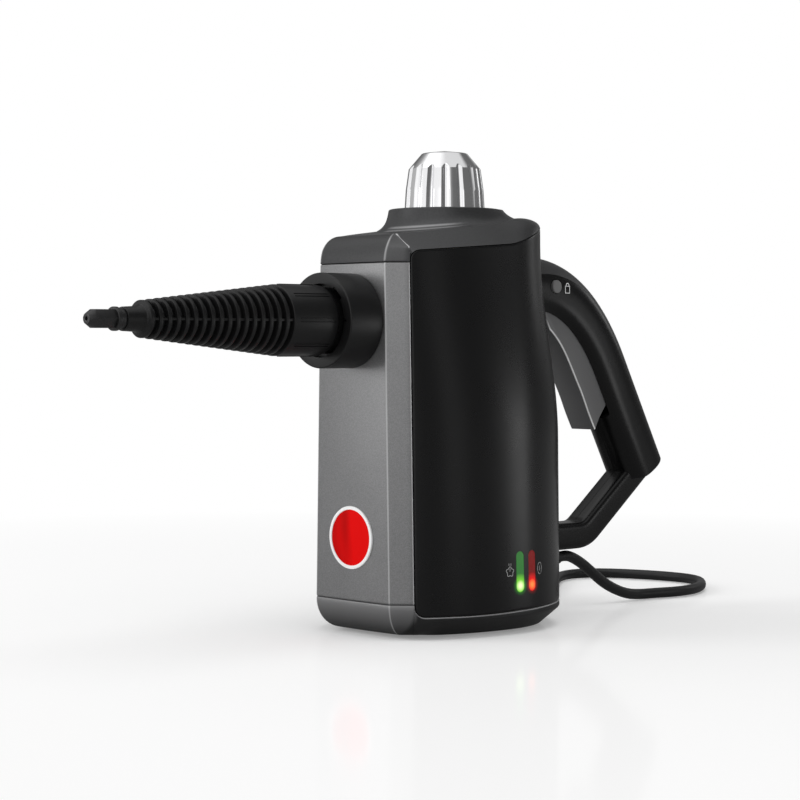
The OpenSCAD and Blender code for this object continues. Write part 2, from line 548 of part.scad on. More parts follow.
// return spring from the trigger's web to the back of the grip
spring_from = [pivot[0] + 32, pivot[1] - 46.5];
spring_len = 39;
module trigger_spring() color([0.75, 0.75, 0.77]) here()
  translate([0, spring_from[0], spring_from[1]]) rotate([-90 + grip_lean, 0, 0])
    spring(4, 0.6, spring_len, 8);
// cross-bolt with a narrow waist that lets the lock finger pass
lock_proud = 1.5;
module lock_button() color([0.12, 0.12, 0.12]) here()
  translate([0, lock_at[0], lock_at[1]]) rotate([0, 90, 0]) rotate_extrude()
    polygon([[0, -grip_w / 2 + 3], [lock_r - 0.4, -grip_w / 2 + 3], [lock_r, -grip_w / 2 + 3.4],
      [lock_r, -3.4], [2, -3.4], [2, 3.4], [lock_r, 3.4], [lock_r, grip_w / 2 + lock_proud - 0.6],
      [lock_r - 0.6, grip_w / 2 + lock_proud], [0, grip_w / 2 + lock_proud]]);

// ---------- boiler ----------
br = boiler_d / 2;
flange_r = br + 8;
split_z = mix(boiler_low, boiler_top, 0.5);
gasket_t = 1.5;
bolt_at = br + 4.2;
module at_bolts() for (a = [0:90:270]) rotate([0, 0, a]) translate([bolt_at, 0, 0]) children();
module boiler_lower() color([0.72, 0.72, 0.74]) here() difference() {
  union() {
    rod_z(boiler_low, split_z, br);
    rod_z(split_z - 3, split_z, flange_r);
  }
  rod_z(boiler_low + boiler_wall, split_z + 1, br - boiler_wall);
  at_bolts() rod_z(split_z - 9, split_z + 1, 2.1);
}
module boiler_gasket() color([0.20, 0.20, 0.22]) here() difference() {
  ring_z(split_z, split_z + gasket_t, flange_r, br - boiler_wall);
  at_bolts() rod_z(split_z - 1, split_z + 4, 2.1);
}
port_y = neck_r + 11;
module boiler_upper() color([0.72, 0.72, 0.74]) here() difference() {
  union() {
    rod_z(split_z + gasket_t, boiler_top, br);
    rod_z(split_z + gasket_t, split_z + gasket_t + 3, flange_r);
  }
  rod_z(split_z, boiler_top - boiler_wall, br - boiler_wall);
  rod_z(boiler_top - 9, boiler_top + 9, neck_r + run_fit);
  rod_z(boiler_top - 9, boiler_top + 9, 4 + run_fit, 0, port_y);
  at_bolts() rod_z(split_z, split_z + 9, 2.1);
}
module boiler_bolts() color([0.62, 0.62, 0.64]) here() at_bolts() {
  translate([0, 0, split_z + gasket_t + 3]) linear_extrude(3) hexagon(6.4);
  rod_z(split_z - 9, split_z + gasket_t + 3, 1.95);
  translate([0, 0, split_z - 9]) linear_extrude(3) hexagon(6.4);
}
// frame under the flange, standing on four legs
module boiler_bracket() color([0.55, 0.56, 0.58]) here() difference() {
  union() {
    ring_z(split_z - 6, split_z - 3, flange_r, br + 1);
    at_legs() rod_z(boss_top, split_z - 3, leg_r);
  }
  rod_z(0, split_z, br + 0.5);
  at_bolts() rod_z(split_z - 9, split_z + 1, 2.1);
  at_legs() rod_z(boss_top - 1, boss_top + 14, 1.95);
}
// brass neck with the cap's thread bore
neck_fit = 0.06;
module filler_neck() color([0.80, 0.65, 0.35]) here()
  rotate_extrude() polygon([[plug_d / 2 + neck_fit, boiler_top - 4], [neck_r, boiler_top - 4],
    [neck_r, boiler_top + 1.6], [neck_r + 3, boiler_top + 1.6], [neck_r + 3, boiler_top + 3.6],
    [neck_r, boiler_top + 3.6], [neck_r, well_z + 0.05], [neck_flange, well_z + 0.05],
    [neck_flange, well_z + 3], [plug_d / 2 + neck_fit, well_z + 3]]);
module neck_seal() color([0.20, 0.20, 0.22]) here()
  ring_z(boiler_top, boiler_top + 1.6, neck_r + 2.8, neck_r + 0.2);
module heating_element() color([0.60, 0.60, 0.62]) here() union() {
  ring_z(boiler_low - 3, boiler_low, br - 4, 9);
  rotate_extrude() translate([br - 12, boiler_low - 5]) circle(r = 3);
  for (x = [-1, 1]) rod_z(boiler_low - 16, boiler_low - 5, 2, x * (br - 12) * 0.94, (br - 12) * 0.34);
}
module thermostat() color([0.85, 0.82, 0.75]) here() {
  rod_z(boiler_low - 9, boiler_low, 7);
  for (x = [-3, 3]) translate([x - 0.4, -2, boiler_low - 15]) cube([0.8, 4, 6]);
}
module thermal_fuse() color([0.80, 0.78, 0.70]) here()
  rod_z(boiler_low + 20, boiler_low + 36, 2.2, 0, br + 2.4);

// ---------- steam valve ----------
vz = rod_z_at;
seat_y = port_y + 7;
valve_end = seat_y + 23;
valve_r = 9.5;
out_y = seat_y + 9;
module valve_body() color([0.80, 0.65, 0.35]) here() difference() {
  union() {
    rod_y(port_y - 6, valve_end, valve_r, 0, vz);
    rod_z(boiler_top - 3, vz, 4, 0, port_y);
    rod_z(boiler_top, vz, 6, 0, port_y);
    rod_x(-14, 0, 5.5, out_y, vz);
  }
  rod_z(boiler_top - 4, vz, 2.5, 0, port_y);
  rod_y(port_y - 4, seat_y, 7.5, 0, vz);
  rod_y(seat_y - 1, valve_end - 6, 4.6, 0, vz);
  rod_y(seat_y, valve_end + 1, 2 + run_fit, 0, vz);
  rod_x(-15, 0, 2.4, out_y, vz);
  rod_x(-15, -11.9, tube_r, out_y, vz);
}
disc_y = seat_y - 2.4;
module valve_plunger() color([0.70, 0.70, 0.72]) here() union() {
  rod_y(disc_y, seat_y - 0.05, 6, 0, vz);
  rod_y(seat_y - 1, valve_end + 1.8, 2, 0, vz);
}
module valve_spring() color([0.75, 0.75, 0.77]) here()
  translate([0, port_y - 3.95, vz]) rotate([-90, 0, 0]) spring(4.4, 0.5, disc_y - port_y + 3.9, 4);
module push_rod() color([0.85, 0.85, 0.83]) here()
  translate([0, valve_end + 1.85, vz]) rotate([-90, 0, 0]) rotate_extrude()
    polygon([[0, 0], [rod_head, 0], [rod_head, 1.6], [pin_r, 1.6], [pin_r, push_len - 0.6],
      [pin_r - 0.6, push_len], [0, push_len]]);
push_len = lug_y[0] - 0.3 - valve_end - 1.85;
tube_r = 3;
tube_x = -32;
drop_y = -br - 10;
spigot_z = nozzle_z;
tube_path = concat([[-12, out_y, vz], [-20, out_y, vz]],
  [for (a = [15:15:90]) [-20 - 12 * sin(a), out_y - 12 + 12 * cos(a), vz]],
  [[tube_x, 8, vz]],
  [for (k = [0:6]) let (t = k / 6, u = 1 - t) u * u * u * [tube_x, -8, vz]
    + 3 * u * u * t * [tube_x, drop_y + 8, vz] + 3 * u * t * t * [0, drop_y, vz + 5]
    + t * t * t * [0, drop_y, spigot_z + 10]],
  [for (a = [18:18:90]) [0, drop_y - 10 + 10 * cos(a), spigot_z + 10 - 10 * sin(a)]],
  [[0, drop_y - 15.5, spigot_z]]);
module steam_tube() color([0.80, 0.55, 0.35]) here() tube(tube_path, tube_r - 0.1, 8);
module tube_nuts() color([0.80, 0.65, 0.35]) here() {
  translate([-14.1, out_y, vz]) rotate([0, -90, 0]) linear_extrude(5) difference() {
    hexagon(11);
    circle(r = tube_r);
  }
  translate([0, drop_y - 11, spigot_z]) rotate([90, 0, 0]) linear_extrude(2.8) difference() {
    hexagon(11);
    circle(r = tube_r);
  }
}
sp0 = br + 24;
spout_r = 6.6;
module outlet_spigot() color([0.80, 0.65, 0.35]) here() difference() {
  turned([[2.5, sp0], [spout_r, sp0], [spout_r, body_front - wall - 4.4], [11, body_front - wall - 4.4],
    [11, body_front - wall - 0.1], [spout_r, body_front - wall - 0.1], [spout_r, body_front + 14.8],
    [5.2, body_front + 14.8], [5.2, body_front + 17.2], [spout_r, body_front + 17.2],
    [spout_r, body_front + 21], [2.5, body_front + 21]]);
  turned([[0, sp0 - 1], [tube_r + 0.05, sp0 - 1], [tube_r + 0.05, sp0 + 3], [0, sp0 + 3]]);
}
module nozzle_seal() color([0.30, 0.10, 0.08]) here()
  on_axis() rotate_extrude() translate([6.1, body_front + 16]) circle(r = 0.88);

// ---------- nozzle ----------
// socket radius, reaches of the shoulders
socket_r = 7.1;
nz0 = body_front + 10.2;
grip_f0 = body_front + 27.6;
ribs_f0 = body_front + 58;
ribs_f1 = nozzle_reach - 34.7;
neck_f1 = nozzle_reach - 22;
nr = nozzle_d / 2;
rib_pitch = (ribs_f1 - ribs_f0) / (rib_count - 1);
function rib_r(f) = mix(nr, 9.95, (f - ribs_f0) / (ribs_f1 - ribs_f0));
rib_pts = [for (i = [1:rib_count - 1]) let (f = ribs_f0 + i * rib_pitch)
  for (p = [[rib_r(f) - 2.6, f - rib_pitch + 1.2], [rib_r(f) - 2.6, f - 1.6],
    [rib_r(f), f - 1.2], [rib_r(f), f + 1.1]]) p];
module nozzle_cone() color([0.07, 0.07, 0.07]) here() union() {
  turned(concat([[15, nz0], [barrel_r, nz0], [barrel_r, grip_f0 - 1.2], [nr - 0.8, grip_f0 - 0.4],
    [nr, grip_f0 + 0.6], [nr, ribs_f0 + 0.8]], rib_pts,
    [[7.6, ribs_f1 + 1.6], [6.7, neck_f1 - 8], [6.3, neck_f1], [4.05, neck_f1],
      [4.05, neck_f1 - 14], [7, ribs_f1 - 10], [14.95, ribs_f0 - 4]]));
  for (a = [0, 180]) on_axis() rotate([0, 0, a]) translate([0, 0, bz0 + 11.2])
    linear_extrude(4.4) intersection() {
      difference() {
        circle(r = lug_r);
        circle(r = barrel_r - 0.5);
      }
      translate([0, -4]) square([lug_r + 1, 8]);
    }
}
module nozzle_tube() color([0.80, 0.65, 0.35]) here()
  turned([[socket_r, nz0 + 1], [9.5, nz0 + 1], [9.5, nz0 + 13], [14.95, nz0 + 13], [14.95, nz0 + 17],
    [4, nz0 + 17], [4, neck_f1 - 4], [2.2, neck_f1 - 4], [2.2, nz0 + 14.5], [socket_r, nz0 + 14.5]]);
module jet_tip() color([0.78, 0.62, 0.30]) here() difference() {
  union() {
    turned([[0, neck_f1 - 3.8], [4, neck_f1 - 3.8], [4, neck_f1 + 0.1], [5.4, neck_f1 + 0.1],
      [5.4, neck_f1 + 3.1], [6.3, neck_f1 + 3.1], [6.3, neck_f1 + 5.9], [0, neck_f1 + 5.9]]);
    on_axis() intersection() {
      translate([0, 0, neck_f1 + 5.9]) linear_extrude(nozzle_reach - neck_f1 - 5.9) hexagon(jet_af);
      rotate_extrude() polygon([[0, neck_f1], [jet_af, neck_f1], [jet_af * 0.6, nozzle_reach - 6.5],
        [jet_af * 0.21, nozzle_reach], [0, nozzle_reach]]);
    }
  }
  turned([[0, neck_f1 - 5], [jet_bore / 2, neck_f1 - 5], [jet_bore / 2, nozzle_reach + 1],
    [0, nozzle_reach + 1]]);
}

// ---------- cap ----------
cr = cap_d / 2;
skirt_z = well_z + 6;
plug_z0 = well_z + 5;
spring_top = cap_top - 16.3;
shaft_z = plug_z0 + 9;
module cap_knob() color([0.85, 0.85, 0.87]) here() difference() {
  rotate_extrude($fn = 96) polygon([[0, cap_top - 6], [cr - 4.5, cap_top - 6], [cr - 4.5, skirt_z],
    [cr, skirt_z], [cr - 0.8, skirt_z + 9], [cr - 2.8, cap_top - 10.7], [cr - 4.4, cap_top - 5.6],
    [cr - 7.2, cap_top - 2.7], [cr - 11, cap_top - 1.3], [cr - 17, cap_top - 0.3], [0, cap_top]]);
  for (i = [0:flute_count - 1]) rotate([0, 0, 360 * (i + 0.5) / flute_count])
    translate([cr, 0, skirt_z - 1]) cylinder(h = cap_top - skirt_z - 7.2, r = 2.1);
}
module cap_plug() color([0.80, 0.65, 0.35]) here() rotate_extrude()
  polygon([[2, plug_z0 - plug_len], [plug_d / 2, plug_z0 - plug_len], [plug_d / 2, plug_z0],
    [cr - 4.6, plug_z0], [cr - 4.6, plug_z0 + 3], [9, plug_z0 + 3], [9, cap_top - 6.05],
    [5.2, cap_top - 6.05], [5.2, shaft_z], [2, shaft_z]]);
module cap_seal() color([0.30, 0.10, 0.08]) here()
  ring_z(well_z + 3, plug_z0, neck_flange - 1, plug_d / 2 + 0.3);
module relief_poppet() color([0.80, 0.30, 0.10]) here() union() {
  rod_z(shaft_z + 0.05, shaft_z + 4, 4.7);
  rod_z(shaft_z - 3, shaft_z + 1, 1.6);
  rod_z(shaft_z + 3, shaft_z + 8, 2.6);
}
module relief_spring() color([0.75, 0.75, 0.77]) here()
  translate([0, 0, shaft_z + 4.1]) spring(4, 0.5, cap_top - 6.1 - shaft_z - 4.1, 6);

// ---------- mains cord ----------
cord_r = cord_d / 2;
relief_neck = 5;
relief_len = 26;
relief_dir = [0, cos(relief_tilt), sin(relief_tilt)];
relief_start = [0, body_rear, relief_z];
module strain_relief() color([0.06, 0.06, 0.06]) here() translate(relief_start)
  rotate([relief_tilt - 90, 0, 0]) rotate_extrude()
    polygon([[cord_r + 0.05, -wall - 3.5], [8, -wall - 3.5], [8, -wall - 0.6], [relief_neck, -wall - 0.6],
      [relief_neck, 0.6], [relief_neck + 0.6, 0.9], [relief_neck + 0.6, 3], [cord_r + 0.9, relief_len],
      [cord_r + 0.05, relief_len]]);
module terminal_block() color([0.85, 0.85, 0.80]) here() difference() {
  translate([-12, body_rear - 35, foot_h + wall]) cube([24, 11, 12]);
  for (x = [-8, 0, 8]) rod_z(foot_h + wall + 6, 40, 1.6, x, body_rear - 29.5);
}
clamp_y = body_rear - 15;
clamp_z = relief_z - 15 * tan(relief_tilt);
module cord_clamp() color([0.60, 0.60, 0.62]) here() difference() {
  translate([-9, clamp_y - 4, clamp_z - 8]) cube([18, 6, 14]);
  translate(relief_start) rotate([relief_tilt - 90, 0, 0])
    cylinder(h = 60, r = cord_r + 0.05, center = true);
}
// coil lying behind the body, two layers wound in and out
coil_at = [-98, 100];
coil_pitch = cord_d + 0.5;
lay_h = cord_d + 0.45;
coil_z = cord_r + 0.95;
floor_z = cord_r + 0.06;
function coil_rad(n) = coil_r - coil_pitch * (n < coil_turns ? n : 2 * coil_turns - n);
function coil_up(n) = coil_z + lay_h * min(1, max(0, 2 * (n - coil_turns) + 0.5));
function coil_pt(n) = [coil_at[0] + coil_rad(n) * cos(360 * n), coil_at[1] - coil_rad(n) * sin(360 * n),
  coil_up(n)];
coil_steps = round(48 * coil_turns);
coil_in = coil_pt(0);
coil_out = coil_pt(2 * coil_turns);
out_a = 360 * 2 * coil_turns;
out_dir = [-sin(out_a), -cos(out_a), 0];
coil_path = concat([coil_in + [0, cord_d, 0]], [for (i = [0:coil_steps]) coil_pt(2 * coil_turns * i / coil_steps)],
  [coil_out + cord_d * out_dir]);
// least gap between turns of the coil
coil_gap = min([for (i = [0:2:coil_steps]) for (j = [i + 20:1:coil_steps])
  norm(coil_path[i] - coil_path[j]) - cord_d]);
echo(coil_gap = coil_gap);
function along(d) = relief_start + relief_dir * d;
rear_shift = body_rear - 72.5;
lead_pts = [along(-20), along(0), along(20), along(relief_len + 1), [0, 107, relief_z + 1.5],
  [0, 114, relief_z - 0.8], [0, 122, relief_z - 5], [0, 131, 20.5], [0, 141, 14],
  [0, 152, 8.8], [0, 164, 5], [-0.5, 177, floor_z], [2.5, 189, floor_z], [6, 202, floor_z],
  [6.5, 215, floor_z], [3.5, 228, floor_z], [-2.5, 241, floor_z], [-12, 254, floor_z],
  [-23, 265, floor_z], [-37, 272, floor_z], [-52, 273, floor_z], [-67, 271, floor_z],
  [-81, 267, floor_z], [-95, 261, floor_z], [-107, 251, floor_z], [-112, 236, floor_z],
  [-108, 220, floor_z], [-98, 204, floor_z], [-85, 188, floor_z], [-71, 170, floor_z],
  [-57, 151, floor_z], [-47, 134, floor_z + 0.3], [-42.4, 119, coil_z],
  [coil_in[0], coil_in[1] + cord_d + 0.02, coil_z]];
lead_path = smooth(lead_pts, 2);
lead_len = sum([for (i = [1:len(lead_path) - 1]) norm(lead_path[i] - lead_path[i - 1])]);
coil_len = sum([for (i = [1:len(coil_path) - 1]) norm(coil_path[i] - coil_path[i - 1])]);
echo(lead_len = lead_len, coil_len = coil_len);
module cord() color([0.05, 0.05, 0.05]) here() tube(lead_path, cord_r, 8);
module cord_coil() color([0.05, 0.05, 0.05]) here() tube(coil_path, cord_r, 6, [0.0, 0.0, 1]);
// short free end from the coil to the plug, bending away from the turns
out_n = [cos(out_a), -sin(out_a), 0];
tail_p0 = coil_out + (cord_d + 0.02) * out_dir;
tail_p1 = tail_p0 + 18 * out_dir;
tail_p2 = tail_p0 + 34 * out_dir + 11 * out_n;
plug_dir = unit(tail_p2 - tail_p1);
tail_path = concat([for (k = [0:6]) bez(tail_p0, tail_p1, tail_p2, k / 6)], [tail_p2 + 5 * plug_dir]);
module cord_tail() color([0.05, 0.05, 0.05]) here() tube(tail_path, cord_r, 8);
tie_in = coil_rad(coil_turns) - cord_r - 2;
tie_out = coil_r + cord_r + 1;
tie_t = 0.8;
module coil_tie() color([0.12, 0.12, 0.12]) here() translate([coil_at[0] - 4, coil_at[1], 0])
  difference() {
    translate([0, tie_in - tie_t, 0.05]) cube([8, tie_out - tie_in + 2 * tie_t, coil_z + lay_h + cord_r + 1.2]);
    translate([-1, tie_in, 0.05 + tie_t])
      cube([10, tie_out - tie_in, coil_z + lay_h + cord_r + 1.2 - 2 * tie_t]);
  }
// moulded plug on the end of the coil
plug_h = 2 * (coil_z + lay_h) - 0.4;
plug_cone = 18;
plug_body_len = 24;
module at_plug() translate(tail_p2 + 5.05 * plug_dir)
  rotate([0, 0, atan2(plug_dir[1], plug_dir[0])]) children();
module plug_body() color([0.06, 0.06, 0.06]) here() at_plug() union() {
  rotate([0, 90, 0]) cylinder(h = plug_cone, r1 = cord_r + 0.8, r2 = 7);
  translate([plug_cone - 0.1, -12.5, -plug_h / 2]) cube([plug_body_len, 25, plug_h]);
}
echo(plug_at = tail_p2 + (5.05 + plug_cone + plug_body_len - 0.1) * plug_dir + [0, shift_y, -7.5],
  plug_dir = plug_dir);
module plug_pins() color([0.80, 0.72, 0.45]) here() at_plug() translate([plug_cone + plug_body_len - 0.1, 0, 0]) {
  for (y = [-6.35, 6.35]) translate([0, y - 0.75, 1.2]) cube([17, 1.5, 6.35]);
  translate([0, 0, -7.5]) rotate([0, 90, 0]) cylinder(h = 21, r = 2.4);
}

// body shift that centres the whole length on the origin
outer_kink = grip_end + grip_deep / 2 * out_of(grip_dir);
rear_reach = at_rim([0, grip_deep / 2], 0)[1];
shift_y = (nozzle_reach - rear_reach) / 2;
echo(rear_reach = rear_reach, shift_y = shift_y);

front_cover();
top_shell();
base_shell();
right_shell();
left_shell();
feet();
housing_screws();
badge();
bezel();
green_lens();
red_lens();
lamp_board();
handle_right();
handle_left();
handle_spine();
handle_screws();
boiler_lower();
boiler_upper();
boiler_gasket();
boiler_bolts();
filler_neck();
neck_seal();
heating_element();
thermostat();
thermal_fuse();
boiler_bracket();
valve_body();
valve_spring();
steam_tube();
tube_nuts();
outlet_spigot();
terminal_block();
cord_clamp();
cap_knob();
cap_plug();
cap_seal();
relief_poppet();
relief_spring();
trigger();
trigger_pin();
trigger_spring();
push_rod();
valve_plunger();
lock_button();
nozzle_cone();
nozzle_tube();
jet_tip();
nozzle_seal();
strain_relief();
cord();
cord_coil();
cord_tail();
coil_tie();
plug_body();
plug_pins();
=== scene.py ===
from functools import partial
from math import acos, asin, atan2, copysign, cos, degrees, dist, exp, pi, radians, sin, sqrt, tan
import bpy
import numpy as np
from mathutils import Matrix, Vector


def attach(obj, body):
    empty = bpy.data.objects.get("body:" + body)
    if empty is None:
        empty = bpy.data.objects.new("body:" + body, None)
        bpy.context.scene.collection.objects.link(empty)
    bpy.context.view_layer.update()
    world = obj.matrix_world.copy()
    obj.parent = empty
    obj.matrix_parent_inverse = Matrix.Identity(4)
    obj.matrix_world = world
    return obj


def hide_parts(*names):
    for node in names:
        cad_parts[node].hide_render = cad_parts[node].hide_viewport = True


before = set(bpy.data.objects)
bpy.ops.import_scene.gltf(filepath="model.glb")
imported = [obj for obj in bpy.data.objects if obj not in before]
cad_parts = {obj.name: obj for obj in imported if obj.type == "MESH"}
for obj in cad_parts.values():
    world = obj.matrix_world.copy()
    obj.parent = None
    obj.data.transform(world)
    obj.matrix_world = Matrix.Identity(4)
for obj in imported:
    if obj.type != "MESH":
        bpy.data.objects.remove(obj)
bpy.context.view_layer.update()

# Camera: a long lens on the right front corner, a little above the middle of the body.
# Lengths in this script are millimetres on the filler's axis; at() turns them into metres.
filler_shift = 33.1387


def at(x, y, z):
    return Vector((x, y + filler_shift, z)) * 0.001


def mm(vert):
    """Where a vertex is, in this script's own millimetres."""
    return vert.co.x * 1000, vert.co.y * 1000 - filler_shift, vert.co.z * 1000


turn, tilt = radians(46.7), radians(1.52)
look = Vector((-sin(turn) * cos(tilt), cos(turn) * cos(tilt), -sin(tilt)))
camera = bpy.data.cameras.new("camera")
camera.lens, camera.sensor_width = 98.2, 36.0
camera.clip_start, camera.clip_end = 0.05, 50.0
camera_rig = bpy.data.objects.new("camera", camera)
bpy.context.scene.collection.objects.link(camera_rig)
camera_rig.location = at(916.1, -899.2, 166.0)
camera_rig.rotation_euler = look.to_track_quat("-Z", "Y").to_euler()
bpy.context.scene.camera = camera_rig
bpy.context.scene.view_settings.view_transform = "Standard"


# Studio: a pale floor under the steamer, a white world behind it, a tall soft box, a top light and five
# narrow strips.
# The finishes are built here first: a flow of numbers, and a finish that holds the nodes.
class Flow:
    """A socket that Python sums can use; each sum adds its Math node."""
    def __init__(self, tree, socket):
        self.tree, self.socket = tree, socket

    def maths(self, operation, *items):
        node = self.tree.nodes.new("ShaderNodeMath")
        node.operation = operation
        for slot, item in zip(node.inputs, items):
            if isinstance(item, Flow):
                self.tree.links.new(item.socket, slot)
            else:
                slot.default_value = item
        return Flow(self.tree, node.outputs[0])

    def ramp(self, low, high):
        share = (self - low) / (high - low)
        share.socket.node.use_clamp = True
        return share


for sign, sum_kind in (("add", "ADD"), ("radd", "ADD"), ("mul", "MULTIPLY"), ("rmul", "MULTIPLY"),
                       ("sub", "SUBTRACT"), ("truediv", "DIVIDE")):
    setattr(Flow, f"__{sign}__", lambda self, other, kind=sum_kind: self.maths(kind, self, other))
Flow.__rsub__ = lambda self, other: self.maths("SUBTRACT", other, self)


class Finish:
    def __init__(self, name, colour=(0.5, 0.5, 0.5), tree=None, **sockets):
        if tree is None:
            self.material = bpy.data.materials.new(name)
            self.material.use_nodes = True
            tree = self.material.node_tree
            self.shader = tree.nodes["Principled BSDF"]
            self.shader.inputs["Base Color"].default_value = (*colour, 1)
            for key, value in sockets.items():
                self.shader.inputs[key.replace("_", " ")].default_value = value
        self.tree = tree

    def node(self, kind, settings=None, out=0, **values):
        node = self.tree.nodes.new(kind)
        for key, value in (settings or {}).items():
            setattr(node, key, value)
        for key, value in values.items():
            slot = node.inputs[int(key[1:])] if key[0] == "_" else node.inputs[key.replace("_", " ")]
            if isinstance(value, Flow):
                self.tree.links.new(value.socket, slot)
            else:
                slot.default_value = value
        return Flow(self.tree, node.outputs[out])

    def place(self, axis=None):
        coords = self.node("ShaderNodeTexCoord", out="Object")
        return coords if axis is None else self.node("ShaderNodeSeparateXYZ", out=axis, Vector=coords)

    def noise(self, scale, detail=2.0, vector=None):
        return self.node("ShaderNodeTexNoise", Vector=vector or self.place(), Scale=scale, Detail=detail)

    def blend(self, mask, low, high):
        return self.node("ShaderNodeMix", {"data_type": "RGBA"}, out=2, _0=mask, _6=low, _7=high)

    def paint(self, mask, low, high):
        self.feed("Base Color", self.blend(mask, low, high))

    # Painted highlight: how much of a pale crease line each point of the mesh carries.
    def painted_highlight(self):
        return self.node("ShaderNodeAttribute", {"attribute_name": "painted_highlight"}, out="Fac")

    def bump(self, height, strength, distance):
        self.feed("Normal", self.node("ShaderNodeBump", Height=height, Strength=strength,
                                      Distance=distance))

    def feed(self, name, flow):
        self.tree.links.new(flow.socket, self.shader.inputs[name])

    def grain(self, rough, *layers, bump=None):
        """Roughness with noises over it, each (amount, scale), and one more noise as relief."""
        for amount, scale in layers:
            rough = rough + amount * self.noise(scale)
        self.feed("Roughness", rough)
        if bump:
            scale, detail, strength, distance = bump
            self.bump(self.noise(scale, detail), strength, distance)


def clear_selection():
    bpy.ops.object.select_all(action="DESELECT")


def take(piece):
    clear_selection()
    piece.select_set(True)
    bpy.context.view_layer.objects.active = piece


clear_selection()
bpy.ops.mesh.primitive_plane_add(size=9, location=(0, 0, -0.0004))
floor = bpy.context.object
floor.name = "studio_floor"
paper = Finish("studio_paper", (0.93, 0.93, 0.93), Roughness=0.9, Specular_IOR_Level=0.0)
floor.data.materials.append(paper.material)
reach = paper.node("ShaderNodeVectorMath", {"operation": "LENGTH"}, out="Value", Vector=paper.place())
gloss = paper.node("ShaderNodeBsdfAnisotropic", Color=(1, 1, 1, 1), Roughness=0.1)
seen, mirrored = (paper.node("ShaderNodeLightPath", out=ray) for ray in ("Is Camera Ray", "Is Glossy Ray"))
shade, white, lift = (paper.node("ShaderNodeEmission", Color=(1, 1, 1, 1), Strength=power)
                      for power in (0.12, 1.0, seen * 0.225))
sheet = paper.node("ShaderNodeMixShader", _0=0.16, _1=Flow(paper.tree, paper.shader.outputs[0]), _2=gloss)
sheet = paper.node("ShaderNodeAddShader", _0=sheet, _1=lift)
mixed = paper.node("ShaderNodeMixShader", _0=reach.ramp(0.25, 0.9), _1=sheet, _2=white)
mixed = paper.node("ShaderNodeMixShader", _0=mirrored * 0.75, _1=mixed, _2=shade)
paper.tree.links.new(mixed.socket, paper.tree.nodes["Material Output"].inputs["Surface"])

world = bpy.context.scene.world or bpy.data.worlds.new("studio")
bpy.context.scene.world = world
world.use_nodes = True
sky = Finish("studio", tree=world.node_tree)
backdrop = world.node_tree.nodes["Background"]
rays = [sky.node("ShaderNodeLightPath", out=ray) for ray in
        ("Is Camera Ray", "Is Transmission Ray", "Is Glossy Ray")]
toward = sky.node("ShaderNodeTexCoord", out="Generated")


def facing(turned):
    """How much a ray looks the way that lies so many degrees round from the front."""
    turned = radians(turned)
    return sky.node("ShaderNodeVectorMath", {"operation": "DOT_PRODUCT"}, out="Value", _0=toward,
                    _1=(sin(turned), -cos(turned), 0.0))


up_on = sky.node("ShaderNodeSeparateXYZ", out="Z", Vector=toward)
shine = 0.15 + 0.87 * facing(-20).ramp(0.0, 0.4) * (1 - 0.6 * facing(-90).ramp(0.68, 0.79))
shine = shine + 0.3 * facing(212).ramp(0.86, 0.98) * up_on.ramp(0.03, 0.2) + 0.65 * up_on.ramp(0.73, 0.82)
shine = shine + 0.3 * facing(40).ramp(0.93, 1.0)
strength = 0.5 + (rays[0] + rays[1]) * 0.5 + rays[2] * (shine - 0.5)
world.node_tree.links.new(strength.socket, backdrop.inputs["Strength"])
backdrop.inputs["Color"].default_value = (1, 1, 1, 1)

# The strips light the steamer alone: a floor that mirrored them would show bright oblongs.
apart = bpy.data.collections.new("apart")
apart.objects.link(floor)
apart.collection_objects[0].light_linking.link_state = "EXCLUDE"
for name, where, aim, width, height, power in (
        ("box_front", (-1.1, -1.3, 0.75), (0, 0, 0.14), 0.8, 1.2, 14),
        ("box_top", (0.2, 0.1, 1.6), (0, 0, 0.1), 1.1, 1.1, 7),
        ("strip_right", (0.72, 0.02, 0.16), (0, 0.02, 0.12), 0.16, 0.32, 0.08),
        ("strip_side", (0.9, 0.82, 0.19), (0, 0, 0.15), 0.5, 0.14, 0.2),
        ("strip_corner", (0.42, 0.39, 0.085), (0.05, 0.03, 0.085), 0.11, 0.17, 0.13),
        ("strip_left", (-0.7, -0.97, 0.33), (0, 0, 0.24), 0.34, 0.5, 0.9),
        ("strip_rear", (0.12, 1.0, 0.43), (0.05, 0.05, 0.15), 0.2, 0.28, 0.25)):
    light = bpy.data.lights.new(name, "AREA")
    light.shape, light.size, light.size_y, light.energy = "RECTANGLE", width, height, power
    holder = bpy.data.objects.new(name, light)
    bpy.context.scene.collection.objects.link(holder)
    holder.location = where
    holder.rotation_euler = (Vector(aim) - Vector(where)).to_track_quat("-Z", "Y").to_euler()
    holder.visible_camera = False
    holder.visible_glossy = name.startswith("strip")
    if holder.visible_glossy:
        holder.light_linking.receiver_collection = apart

# Mains cord: 2.4 m of 6.7 mm three-core flex in black PVC. It leaves the foot of the rear wall
# through a tapered sleeve, loops on the floor, and is put away in a tied coil with its plug.
cord_d, body_rear = 6.7, 72.5
cord_r = cord_d / 2
sleeve_z, sleeve_tilt, sleeve_len = 31.4, radians(3), 26.0
coil_turns, coil_r, coil_mid = 3.75, 53.5, (-98.0, 100.0)
coil_pitch, lay_h = cord_d + 0.5, cord_d + 0.45
floor_z, coil_z = cord_r + 0.06, cord_r + 0.95


def sleeve_point(d):
    return (0.0, body_rear + d * cos(sleeve_tilt), sleeve_z + d * sin(sleeve_tilt))


def coil_point(n):
    inward = n if n < coil_turns else 2 * coil_turns - n
    rad, ang = coil_r - coil_pitch * inward, 2 * pi * n
    climb = min(1.0, max(0.0, 2 * (n - coil_turns) + 0.5))
    return (coil_mid[0] + rad * cos(ang), coil_mid[1] - rad * sin(ang), coil_z + lay_h * climb)


